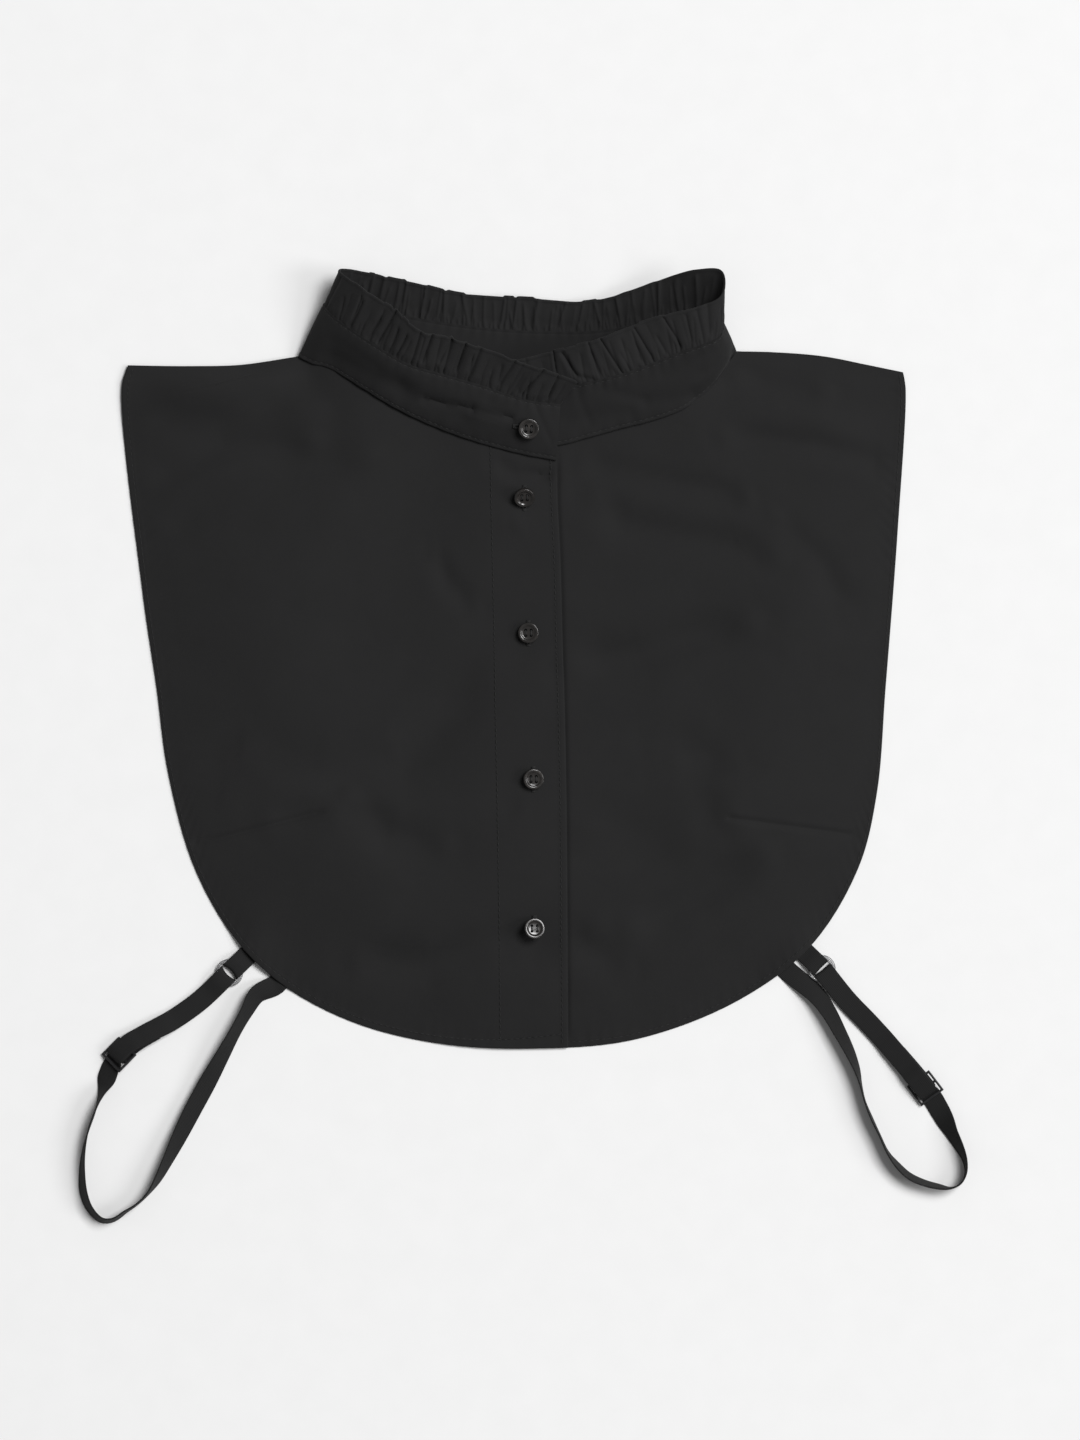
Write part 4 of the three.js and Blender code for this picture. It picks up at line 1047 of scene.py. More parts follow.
# Creases of the band: x, y, x, y, width, depth
BAND_LEFT_CREASES = [
    (-50, 173.5, -26, 169, 1.1, 1.5), (-26, 169, -6, 163, 0.9, 1.5), (-95, 195, -62, 179, 4.5, 1.7),
    (-62, 179, -32, 166, 4.5, 1.7), (-96, 203, -74, 190, 2.2, 0.5), (5, 170, 13, 152, 1.0, 0.35),
    (-18, 172, -8, 166, 1.6, 0.4), (-4, 158, -14, 152, 1.4, 0.35),
]
BAND_RIGHT_CREASES = [
    (38, 178, 60, 173, 2.0, 0.6), (60, 173, 82, 175, 2.4, 0.6), (86, 174, 107, 192, 3.4, 2.6),
    (22, 162, 52, 167, 2.6, 0.5), (88, 186, 104, 199, 2.0, 0.5), (26, 178, 33, 160, 1.4, 0.3),
    (70, 186, 88, 195, 2.4, 0.4),
]
BAND_PARTS = [(0, LEFT_FOLD, BAND_LEFT_CREASES), (RIGHT_FOLD, SECTIONS, BAND_RIGHT_CREASES)]
BAND_COLUMNS = 620
BAND_EDGE = 0.5
BAND_STITCH = 1.8
SEAM_STITCH = 1.3
BAND_DIP = 0.22
BAND_DIP_WIDTH = 0.35
BAND_LOW_ROWS = [0, 0.12, 0.4, 0.8, 1.2, 1.5, BAND_STITCH, 2.1, 2.5, 3.2]
BAND_HIGH_ROWS = [3.0, 2.2, 1.9, 1.6, SEAM_STITCH, 1.0, 0.4, 0]
BAND_MIDDLE_ROWS = 12
BAND_STITCH_DEPTH = 0.95  # how far out the stitches lie, as a share of the band's half thickness
BAND_STITCH_R = 0.2


def band_half(from_base, from_seam):
    dips = bell(from_base - BAND_STITCH, BAND_DIP_WIDTH) + bell(from_seam - SEAM_STITCH, BAND_DIP_WIDTH)
    return (BAND / 2 - 0.1) * round_edge(from_base, BAND_EDGE, 0.1) - BAND_DIP * dips


def puckers(along, up, depth, length, size, seed):
    """Ripples of one length along a seam, shifted unevenly."""
    return depth * np.sin(2 * math.pi * along / length + 2 * humps(along, up, size, seed))


def band_ripple(along, up, height):
    """Puckers along both sewn edges, and a slow waviness between them."""
    at_base = puckers(along, up, depth=0.12, length=8.5, size=22, seed=31) * bell(up - 2, 3)
    at_seam = puckers(along, up, depth=0.16, length=6.1, size=15, seed=32) * bell(up - height, 3.5)
    inside = 0.35 * humps(along, up, size=26, seed=33) * np.sin(math.pi * up / height)
    return at_base + at_seam + inside


def collar_band():
    far = np.linspace(0, seam_curve.length, BAND_COLUMNS)
    t = seam_curve.parameter(far)
    heights = np.linalg.norm(seam_curve.part(t) - base_curve.part(t), axis=1)
    low, high = np.array(BAND_LOW_ROWS), np.array(BAND_HIGH_ROWS)
    up = np.array([
        np.concatenate([low, np.linspace(low[-1], top - high[0], BAND_MIDDLE_ROWS)[1:-1], top - high])
        for top in heights])
    v = up / heights[:, None]
    grid = np.stack([band_point(t, v[:, j]) for j in range(v.shape[1])], axis=1)
    along = far[:, None] + 0 * v
    place = np.dstack([along, up])
    ripple = band_ripple(along, up, heights[:, None])
    for part in BAND_PARTS:
        for low_end, high_end, width, depth in drawn_on_strip(band_edges, *part):
            ripple -= depth * bell(distance_to_segment(place, low_end, high_end), width)
    outward = outward_at(base_curve, seam_curve, t)
    grid = grid + outward[:, None, :] * ripple[..., None]
    half = band_half(up, heights[:, None] - up)
    for row in (BAND_LOW_ROWS.index(BAND_STITCH), BAND_HIGH_ROWS.index(SEAM_STITCH) - len(high)):
        path = grid[:, row] + outward * half[:, row, None] * BAND_STITCH_DEPTH
        sewing_on_collar.row(path, outward, radius=BAND_STITCH_R)
    # The band's material carries painted shade in its colour
    return finish_piece("band", sheet_mesh(grid, half, -half, place), poplin_with_painted_band_shade,
                        ["collar_band"])


# Gathers of the ruffle: pressed creases between almost flat stretches of cloth
FRILL_COLUMN = 0.44
FRILL_SHARES = np.array([
    0, 0.03, 0.07, 0.12, 0.18, 0.24, 0.3, 0.36, 0.42, 0.48, 0.54, 0.6, 0.66, 0.72, 0.78, 0.83, 0.87,
    0.9, 0.92, 0.94, 0.96, 0.98, 0.992, 1.0])
FRILL_HALF = 0.22
FRILL_HEM = 1.5

# Creases from the seam or near it towards the free edge: x, y, x, y, width, depth
FRONT_LEFT_CREASES = [
    (-86, 209.5, -80.5, 221, 0.8, 0.9), (-78, 203.5, -71.5, 212, 0.7, 0.7),
    (-72.8, 201, -64, 215.5, 0.6, 1.1), (-64, 194.5, -58.5, 204, 0.6, 0.9),
    (-51, 191.5, -46, 205, 1.0, 1.1), (-42, 191.5, -36, 201.5, 0.9, 1.0),
    (-33.8, 187.5, -29, 201.5, 0.6, 1.1), (-27, 185.5, -22, 198, 1.0, 0.9),
    (-12, 180.5, -4.5, 192.5, 0.7, 0.8), (-1, 175, 9.5, 186.5, 0.6, 1.1), (12, 174, 17.5, 186, 0.7, 0.8),
]
BACK_CREASES = [
    (-82, 222.5, -80.5, 231, 0.8, 0.9), (-77.8, 223, -75.2, 234, 0.6, 1.0),
    (-71.5, 223, -69.5, 234, 1.0, 0.8), (-64, 219, -63, 231, 0.8, 0.5), (-61, 217, -58.8, 231, 0.6, 0.8),
    (-51.8, 214, -49.2, 229.5, 0.5, 1.1), (-40, 212, -40, 228, 1.0, 0.9),
    (-28, 210.5, -31, 225, 0.6, 0.8), (-12, 209.5, -9.8, 222, 0.6, 0.8), (-5, 210, -3.5, 222, 0.5, 0.9),
    (0.2, 209, 0.2, 217, 0.5, 0.5), (5, 210.5, 7, 222, 1.0, 0.9), (13.2, 209, 14.2, 218, 0.5, 0.5),
    (18, 210.5, 21, 221.5, 0.6, 0.7), (27, 209, 29.2, 220.5, 0.6, 0.8),
    (38.2, 210.5, 35.2, 220.5, 0.6, 0.8), (48.2, 210, 45.8, 223.5, 0.5, 1.1),
    (54.2, 220, 53.8, 228, 0.8, 0.4), (60.2, 214, 60.2, 228, 0.8, 0.5),
    (67.2, 214, 66.8, 231.5, 0.6, 1.0), (77, 218, 76, 232, 1.2, 0.6), (86, 219, 85.5, 233, 1.3, 0.7),
]
FRONT_RIGHT_CREASES = [
    (15.8, 188, 14.2, 197.5, 0.5, 1.1), (33.8, 183, 26.2, 185, 0.7, 1.2),
    (26.2, 185, 19.2, 195, 0.8, 1.4), (36.8, 185.5, 31.2, 202.5, 0.6, 1.0),
    (48.8, 186, 37.8, 203, 0.6, 1.1), (51.2, 192, 48.2, 202, 0.7, 0.7), (63.8, 192, 54.2, 208, 0.6, 1.1),
    (57.8, 192, 53.2, 205.5, 0.6, 0.7), (70.2, 195.5, 65.8, 203, 0.8, 0.7),
    (77.8, 198, 68.8, 212.5, 0.5, 1.1), (82.8, 201.5, 79.8, 214, 0.6, 0.8),
    (91.8, 205.5, 90.8, 219, 1.0, 0.9), (96.5, 205, 98, 217, 0.8, 0.6),
]
RUFFLE_PARTS = [  # from section to section: creases and how much deeper they are than drawn
    (0, LEFT_FOLD, FRONT_LEFT_CREASES, 1.25),
    (LEFT_FOLD, RIGHT_FOLD, BACK_CREASES, 0.8),
    (RIGHT_FOLD, SECTIONS, FRONT_RIGHT_CREASES, 0.75),
]
# Random gathers: their spacing, and the least and most of each measure
SMALL_GATHER = 2.7
SMALL_SHIFT = (-0.9, 0.9)
FINE_GATHER = 4.4
FINE_SHIFT = (-1.7, 1.7)
FINE_LEAN = (-2.2, 2.2)
FINE_REACH = (0.45, 1.05)  # of the ruffle's height
FINE_DEPTH = (0.2, 0.7)
FINE_WIDTH = (0.45, 0.8)
CREASE_REACH = 14  # further along the seam a crease does nothing
DEEP_CREASE = 0.6  # a crease deeper than this parts two pleats
PLEAT_EASE = 0.16
PLEAT_REACH = 0.35  # how far a pleat's free edge stands out between its creases
PLEAT_UNEVEN = 0.55
FRILL_IN_BAND = 0.5  # the ruffle starts this far inside the band's edge
SEAM_FLAT = 0.35  # the gathers' share of their height at the seam
SEAM_FLAT_RUN = 1.2
SPREAD_RUN = 5
HEM_TURN = 0.22  # what the rolled hem adds to half the ruffle's thickness
HEM_TURN_RUN = 0.25
CALM = ([0, 7, 9, 19, 21, SECTIONS], [1.25, 1.25, 0.7, 0.7, 1.0, 1.0])


def ruffle_edges(t):
    """Where the ruffle leaves the band's upper edge, and its free edge there."""
    seam = seam_curve.part(t)
    band_up = unit(seam - band_point(t, np.full(len(t), 0.75)))
    return seam - band_up * FRILL_IN_BAND, frill_curve.part(t)


def ruffle_creases():
    """Every crease as a line in the ruffle's own measures: along the seam, and up from it."""
    found = []
    for first, last, drawn, depth_gain in RUFFLE_PARTS:
        for low, high, width, depth in drawn_on_strip(ruffle_edges, first, last, drawn):
            found.append((low, high, width, depth * depth_gain))
    chance = np.random.default_rng(77)
    height = np.linalg.norm(seam_curve.points - frill_curve.points, axis=1).mean()
    for s in np.arange(3, seam_curve.length - 3, FINE_GATHER):
        at = s + chance.uniform(*FINE_SHIFT)
        lean = chance.uniform(*FINE_LEAN)
        reach = height * chance.uniform(*FINE_REACH)
        part = at / seam_curve.length * SECTIONS
        gain = next(gain for _, last, _, gain in RUFFLE_PARTS if part <= last)
        depth = gain * chance.uniform(*FINE_DEPTH)
        found.append(((at, 1.0), (at + lean, reach), chance.uniform(*FINE_WIDTH), depth))
    for s in np.arange(1.5, seam_curve.length, SMALL_GATHER):
        at = s + chance.uniform(*SMALL_SHIFT)
        reach = 1.5 + 4.5 * chance.uniform() ** 2
        high = (at + chance.uniform(*SMALL_SHIFT), reach)
        found.append(((at, 0.2), high, 0.42, 0.3 + 0.3 * chance.uniform()))
    return found


def pleats_along(far, creases):
    """How far the free edge reaches on each stretch between two deep creases."""
    middles = sorted((low[0] + high[0]) / 2 for low, high, _, depth in creases if depth > DEEP_CREASE)
    uneven = np.random.default_rng(5).uniform(-1, 1, len(middles) + 1)
    ends = np.array([0, *middles, seam_curve.length])
    stretch = np.clip(np.searchsorted(ends, far) - 1, 0, len(middles))
    into = (far - ends[stretch]) / np.maximum(ends[stretch + 1] - ends[stretch], 0.1)
    step = ease(np.clip(np.minimum(into, 1 - into) / PLEAT_EASE, 0, 1))
    return (PLEAT_UNEVEN * uneven[stretch] + PLEAT_REACH) * step


def collar_ruffle():
    far = np.linspace(0, seam_curve.length, int(seam_curve.length / FRILL_COLUMN))
    t = seam_curve.parameter(far)
    start, edge = ruffle_edges(t)
    height = np.linalg.norm(edge - start, axis=1)[:, None]
    up = FRILL_SHARES * height
    along = far[:, None] + 0 * up
    place = np.dstack([along, up])
    creases = ruffle_creases()
    wave = 0 * along
    for low, high, width, depth in creases:
        near = np.abs(far - (low[0] + high[0]) / 2) < CREASE_REACH
        away = distance_to_segment(place[near], low, high)
        wave[near] -= depth * (np.exp(-(away / width) ** 1.5) - 0.22 * bell(away - 2.2, 1.3))
    spread = ease(np.clip(up / SPREAD_RUN, 0, 1))
    calm = np.interp(t * SECTIONS, *CALM)[:, None]
    wave += (0.55 * humps(along, 0.3 * up, 8, 41) + 0.5 * humps(along, 0 * up, 17, 42)) * spread * calm
    wave *= SEAM_FLAT + (1 - SEAM_FLAT) * ease(np.clip(up / SEAM_FLAT_RUN, 0, 1))
    slant = 0.5 * humps(along, 0 * up, 9, 43) * spread
    reach = (0.35 * humps(along, 0 * up, 12, 44) + pleats_along(far, creases)[:, None]) * FRILL_SHARES ** 3
    outward = outward_at(seam_curve, frill_curve, t)
    grid = start[:, None, :] + (edge - start)[:, None, :] * FRILL_SHARES[:, None]
    for way, share in ((outward, wave), (seam_tangent(t), slant), ((edge - start) / height, reach)):
        grid = grid + way[:, None, :] * share[..., None]
    from_edge = height - up
    rolled = 1 - ease(ramp(from_edge, FRILL_HEM - HEM_TURN_RUN, FRILL_HEM + HEM_TURN_RUN))
    half = (FRILL_HALF + HEM_TURN * rolled) * round_edge(from_edge, 0.4, 0.08)
    return finish_piece("ruffle", sheet_mesh(grid, half, -half, place), poplin_on_ruffle,
                        ["collar_ruffle"], sharp=80)


# Stitches: each is a small rounded bar of thread
STITCH_SIDES = 6
STITCH_SINK = 0.9  # how far a stitch's ends dip, as a share of its radius
STITCH_LIFT = 0.55
STITCH_PROFILE = [(-1.0, 0.0), (-0.86, 0.75), (-0.3, 1.0), (0.3, 1.0), (0.86, 0.75), (1.0, 0.0)]


class Sewing:
    """Collects stitches, and makes one piece of them."""

    def __init__(self):
        self.points = []
        self.faces = []

    def ring(self, centre, side, up, radius):
        """Points round a stitch, or one point at its end."""
        first = len(self.points)
        if radius == 0:
            self.points.append(centre)
            return [first] * STITCH_SIDES
        for k in range(STITCH_SIDES):
            angle = 2 * math.pi * k / STITCH_SIDES
            self.points.append(centre + (side * math.cos(angle) + up * math.sin(angle)) * radius)
        return list(range(first, first + STITCH_SIDES))

    def stitch(self, middle, along, out, length, radius):
        along = unit(along)
        side = unit(np.cross(out, along))
        up = np.cross(along, side)
        rings = []
        for share, swell_at in STITCH_PROFILE:
            centre = middle + along * share * length / 2 - up * radius * STITCH_SINK * share * share
            rings.append(self.ring(centre, side, up, radius * swell_at))
        for low, high in zip(rings[:-1], rings[1:]):
            for k in range(STITCH_SIDES):
                after = (k + 1) % STITCH_SIDES
                face = [low[k], low[after], high[after], high[k]]
                self.faces.append(list(dict.fromkeys(face)))

    def row(self, path, out, length=2.3, gap=0.7, radius=0.19):
        """A row of stitches along a path of points, with the cloth's outward direction at each."""
        far = distances_along(path)
        step = length + gap
        for s in np.arange(step, far[-1] - step, step):
            before, here, after = columns_at(s + np.array([-length / 2, 0, length / 2]), far, path)
            normal = unit(columns_at(s, far, out))
            self.stitch(here + normal * radius * STITCH_LIFT, after - before, normal, length, radius)

    def piece(self, name):
        return finish_piece(name, (self.points, self.faces, None), thread, sharp=180)


sewing_on_fronts = Sewing()
sewing_on_collar = Sewing()
HEM_STITCH_ROW = -1 - HEM_ROWS.index(HEM_STITCH)


def sew_along(grid, upper, row=None, column=None):
    """Sews along one row or column of a front's upper face."""
    normals = grid_normals(grid)
    normals = normals * np.sign(normals[..., 2:3].mean())
    face = grid + normals * upper[..., None]
    line = (slice(None), row) if column is None else column
    sewing_on_fronts.row(face[line], normals[line])


left_front = left_front_panel()
right_front = right_front_panel()
back = back_panel()
band = collar_band()
ruffle = collar_ruffle()


# Elastic straps
ROUTE_STEPS = 60
ROLL_GAP = 0.1  # under the lower edge of a rolled strap
STILL = 9  # the elastic doesn't turn this near its slider
FREE = 26


class Route:
    """A strap's way over the table, with the elastic's roll."""

    def __init__(self, rows, steady_row=None):
        rows = np.asarray(rows, float)
        (a, b, c, d), w = four_about(rows, np.linspace(0, 1, ROUTE_STEPS * (len(rows) - 1) + 1))
        self.samples = cubic(b, c, 0.5 * (c - a), 0.5 * (d - b), w)
        self.far = distances_along(self.samples[:, :2])
        self.length = self.far[-1]
        self.steady = None if steady_row is None else self.far[ROUTE_STEPS * steady_row]

    def sample(self, s):
        s = np.asarray(s, float)
        inside = columns_at(s, self.far, self.samples)
        first = unit(self.samples[1] - self.samples[0])
        last = unit(self.samples[-1] - self.samples[-2])
        beyond = first * np.minimum(s, 0)[..., None] + last * np.maximum(s - self.length, 0)[..., None]
        beyond[..., 2] = 0
        return inside + beyond

    def roll_at(self, s):
        if self.steady is None:
            return self.sample(s)[..., 2]
        away = s - self.steady
        reach = np.abs(away)
        eased = np.maximum(reach - STILL, 0) * FREE / (FREE - STILL)
        near = self.sample(self.steady + np.sign(away) * eased)[..., 2]
        return np.where(reach >= FREE, self.sample(s)[..., 2], near)

    def frame(self, s):
        ahead = self.sample(s + 0.5) - self.sample(s - 0.5)
        ahead[..., 2] = 0
        tangent = unit(ahead)
        roll = np.radians(self.roll_at(s))[..., None]
        level = np.stack([-tangent[..., 1], tangent[..., 0], 0 * s], axis=-1)
        upright = np.array([0.0, 0.0, 1.0])
        side = level * np.cos(roll) + upright * np.sin(roll)
        up = -level * np.sin(roll) + upright * np.cos(roll)
        origin = self.sample(s)
        origin[..., 2] = np.abs(np.sin(roll[..., 0])) * (STRAP_W / 2 + ROLL_GAP)
        return tangent, side, up, origin


def turn(centre_s, centre_height, radius, bulge, from_below):
    sign = 1 if from_below else -1
    return [(centre_s + bulge * radius * math.cos(a), centre_height + sign * radius * math.sin(a))
            for a in np.linspace(-math.pi / 2, math.pi / 2, 13)]


def fill_stations(keys, step=1.5):
    """More stations between those given, with heights that ease from one to the next."""
    stations = [keys[0]]
    for (s0, h0), (s1, h1) in zip(keys[:-1], keys[1:]):
        parts = max(1, math.ceil(abs(s1 - s0) / step))
        for share in np.arange(1, parts + 1) / parts:
            stations.append((s0 + (s1 - s0) * share, h0 + (h1 - h0) * ease(share)))
    return stations


def strap_stations(route):
    slider = route.steady
    lower = SLIDER_Z - TURN_R
    upper = SLIDER_Z + TURN_R
    over = upper + STRAP_T + GAP
    easing = RUN_Z + (upper - RUN_Z) * 0.35
    tail = [(slider - TAIL, lower), (slider - 8, lower)]
    back_to_ring = [
        (slider - 3, upper), (slider - 7.5, upper), (slider - 15, easing), (slider - 24, RUN_Z),
        (slider - 33, LAID_Z), (FOLD_AT + 3, LAID_Z),
    ]
    back_to_slider = [
        (FOLD_AT + 3, RING_Z + FOLD_R), (FOLD_AT + 13, RUN_Z), (slider - 35, RUN_Z),
        (slider - 24, RUN_Z + LAYER), (slider - 15, easing + LAYER), (slider - 8, over),
        (slider - 3, over),
    ]
    through_slot = [
        (slider + 1, over), (slider + 2.5, over - 0.8), (slider + 3.2, over - 2),
        (slider + 3.4, 1.9), (slider + 4.1, 1.0), (slider + 5.4, 0.62), (slider + 8, LAID_Z),
    ]
    return (fill_stations(tail)
            + turn(slider, SLIDER_Z, TURN_R, 1, True)
            + fill_stations(back_to_ring)
            + turn(FOLD_AT, RING_Z, FOLD_R, -1, True)
            + fill_stations(back_to_slider)
            + through_slot
            + fill_stations([(slider + 12, LAID_Z), (route.length, LAID_Z)]))


# Half of the elastic's cross-section: across and thickness as shares of its half width and height
ELASTIC_EDGE = [(1.0, 0.0), (0.985, 0.55), (0.95, 0.9), (0.9, 1.0), (0.6, 0.9), (0.3, 0.96), (0.0, 0.9)]


def elastic_section():
    half = np.array(ELASTIC_EDGE)
    top = np.vstack([half, half[-2::-1] * (-1, 1)])
    return np.vstack([top, top[-2:0:-1] * (1, -1)])


OVER_TABLE = 0.02


def ribbon_mesh(route, stations, ring_fold):
    s = np.array([station[0] for station in stations])
    height = np.array([station[1] for station in stations])
    section = elastic_section()
    across = section[:, 0] * STRAP_W / 2
    # The two folds in a ring all but touch at their edges, and bow apart in the middle
    near_ring = 1 - ease(ramp(s, FOLD_AT + 2, FOLD_AT + 12))
    at_edges, bowed = ring_fold
    bow = at_edges + bowed * (1 - (across / (STRAP_W / 2)) ** 2)
    shifted = s[:, None] + near_ring[:, None] * bow[None, :]
    _, side, up, origin = route.frame(s)
    _, wide_side, wide_up, wide_origin = route.frame(shifted)
    centre = wide_origin + wide_up * height[:, None, None]
    plain = origin + up * height[:, None]
    normal = unit(np.cross(unit(differences(plain)), side))
    thick = section[:, 1] * STRAP_T / 2
    points = centre + wide_side * across[None, :, None] + normal[:, None, :] * thick[None, :, None]
    points[..., 2] = np.maximum(points[..., 2], OVER_TABLE)
    ids = np.arange(points.size // 3).reshape(points.shape[:2])
    after = np.roll(ids, -1, axis=1)
    faces = quads(ids[:-1], after[:-1], after[1:], ids[1:]) + [ids[0, ::-1].tolist(), ids[-1].tolist()]
    uv = np.dstack(np.broadcast_arrays(distances_along(plain)[:, None], across))
    return turned_out(points.reshape(-1, 3), faces, uv.reshape(-1, 2))


def hem_rows(x, y):
    outline = back_outline()
    i = int(np.argmin(np.hypot(outline[:, 0] - x, outline[:, 1] - y)))
    along = unit(outline[i + 1] - outline[i - 1])
    outward = np.array([along[1], -along[0]])
    return [(*(outline[i] + outward * (GAP + distance)), 0) for distance in (11, 5, 0.1)]


# Hard pieces: each is modelled once with edit-mode steps, then copied to its places
def deselect_all():
    if bpy.context.object and bpy.context.object.mode != "OBJECT":
        bpy.ops.object.mode_set(mode="OBJECT")
    bpy.ops.object.select_all(action="DESELECT")


def activate(piece):
    deselect_all()
    piece.select_set(True)
    bpy.context.view_layer.objects.active = piece


def pick(piece, parts, test):
    """Selects the faces or edges that pass a test, in edit mode."""
    bpy.ops.mesh.select_all(action="DESELECT")
    mesh = bmesh.from_edit_mesh(piece.data)
    for part in getattr(mesh, parts):
        part.select = test(part)
    bmesh.update_edit_mesh(piece.data)


def apply_modifiers(piece):
    activate(piece)
    for modifier in list(piece.modifiers):
        bpy.ops.object.modifier_apply(modifier=modifier.name)


def soften(piece, width, segments, degrees):
    rounded = piece.modifiers.new("rounded", "BEVEL")
    rounded.width = width * MM
    rounded.segments = segments
    rounded.limit_method = "ANGLE"
    rounded.angle_limit = math.radians(degrees)
    apply_modifiers(piece)


def cut_out(piece, cutters):
    for cutter in cutters:
        cut = piece.modifiers.new("hole", "BOOLEAN")
        cut.operation = "DIFFERENCE"
        cut.object = cutter
        cut.solver = "EXACT"
    apply_modifiers(piece)
    for cutter in cutters:
        bpy.data.objects.remove(cutter)


def shade_by_angle(piece, degrees):
    activate(piece)
    bpy.ops.object.shade_smooth_by_angle(angle=math.radians(degrees))
    return piece


def set_down(shape, name, matrix, material, replaced):
    """Puts a copy of a finished shape in its place, and leaves its object at the origin."""
    piece = put_in_scene(name, shape.data.copy())
    piece.data.name = name
    piece.data.transform(matrix)
    piece.data.materials.clear()
    piece.data.materials.append(material)
    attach(piece, "root")
    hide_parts(replaced)


def matrix_of(x_axis, y_axis, z_axis, place):
    where = (np.asarray(place, float) + SHIFT) * MM
    columns = np.column_stack([x_axis, y_axis, z_axis, where])
    return Matrix([*columns.tolist(), (0, 0, 0, 1)])


PARTING_FROM = 0.94  # of the wire's radius, outwards
PARTING_HALF = 0.2  # of the wire's radius, up and down


def ring_shape():
    """The wire ring, with the mould's thin parting line round it."""
    deselect_all()
    bpy.ops.mesh.primitive_torus_add(
        major_radius=RING_R * MM, minor_radius=WIRE_R * MM, major_segments=72, minor_segments=20)
    ring = bpy.context.object
    bpy.ops.object.mode_set(mode="EDIT")

    def outermost(face):
        middle = face.calc_center_median()
        far_out = math.hypot(middle.x, middle.y) > (RING_R + PARTING_FROM * WIRE_R) * MM
        return far_out and abs(middle.z) < PARTING_HALF * WIRE_R * MM

    pick(ring, "faces", outermost)
    bpy.ops.mesh.inset(thickness=PARTING * MM, depth=PARTING * MM)
    bpy.ops.object.mode_set(mode="OBJECT")
    bpy.ops.object.shade_smooth()
    return ring


SLIDER_SOFT = 0.28


def slider_shape():
    deselect_all()
    bpy.ops.mesh.primitive_cube_add(size=1)
    slider = bpy.context.object
    bpy.ops.object.mode_set(mode="EDIT")
    bpy.ops.mesh.select_all(action="SELECT")
    bpy.ops.transform.resize(value=(2 * SLIDER_HALF_L * MM, 2 * SLIDER_HALF_W * MM, SLIDER_T * MM))
    pick(slider, "edges", lambda edge: abs(edge.verts[0].co.z - edge.verts[1].co.z) > 0.5 * SLIDER_T * MM)
    bpy.ops.mesh.bevel(offset=SLIDER_CORNER * MM, segments=5, affect="EDGES")
    bpy.ops.object.mode_set(mode="OBJECT")
    slots = []
    for end in (-1, 1):
        deselect_all()
        bpy.ops.mesh.primitive_cube_add(size=1, location=(end * (SLOT_FROM + SLOT_TO) / 2 * MM, 0, 0))
        slots.append(bpy.context.object)
        slots[-1].scale = ((SLOT_TO - SLOT_FROM) * MM, 2 * SLOT_HALF_W * MM, 4 * SLIDER_T * MM)
        bpy.ops.object.transform_apply(location=False, rotation=False, scale=True)
    cut_out(slider, slots)
    soften(slider, SLIDER_SOFT, segments=4, degrees=30)
    return shade_by_angle(slider, 40)


def fold_tab(side, lie, ring_at):
    """The tab from the front's hem, folded round the ring."""
    tab = Route([(*ring_at, 0), (*lie["tab_end"], 0)])
    stations = (fill_stations([(tab.length, RUN_Z), (FOLD_AT + 9, RUN_Z), (FOLD_AT + 3, RING_Z + FOLD_R)])
                + turn(FOLD_AT, RING_Z, FOLD_R, -1, False)
                + fill_stations([(FOLD_AT + 3, LAID_Z), (tab.length, LAID_Z)]))
    shape = ribbon_mesh(tab, stations, lie["ring_fold"])
    finish_piece(f"ring_tab_{side}", shape, elastic, [f"strap_tab_{side}"])


def lay_strap(side, lie):
    """One side's elastic, tab, ring and slider."""
    route = Route(lie["route"] + hem_rows(*lie["hem_end"]), lie["slider_row"])
    shape = ribbon_mesh(route, strap_stations(route), lie["ring_fold"])
    finish_piece(f"elastic_{side}", shape, elastic, [f"strap_{side}"])
    ring_at = lie["route"][0][:2]
    fold_tab(side, lie, ring_at)
    set_down(ring_model, f"ring_{side}", matrix_of(*np.eye(3), (*ring_at, RING_Z)), ring_nylon,
             f"strap_ring_{side}")
    tangent, across, up, origin = (value[0] for value in route.frame(np.array([route.steady])))
    set_down(slider_model, f"slider_{side}", matrix_of(tangent, across, up, origin + up * SLIDER_Z),
             slider_nylon, f"strap_slider_{side}")


ring_model = ring_shape()
slider_model = slider_shape()
for side, lie in STRAPS.items():
    lay_strap(side, lie)
bpy.data.objects.remove(ring_model)
bpy.data.objects.remove(slider_model)


# Buttons
BUTTON_SOFT = 0.55
BUTTON_RIMS = ((1.35, 0), (0.5, BUTTON_DISH), (1.2, 0.08))  # insets in turn: width and how far sunk
BUTTON_BACK_RIM = 1.5
DRILL_LENGTH = 6


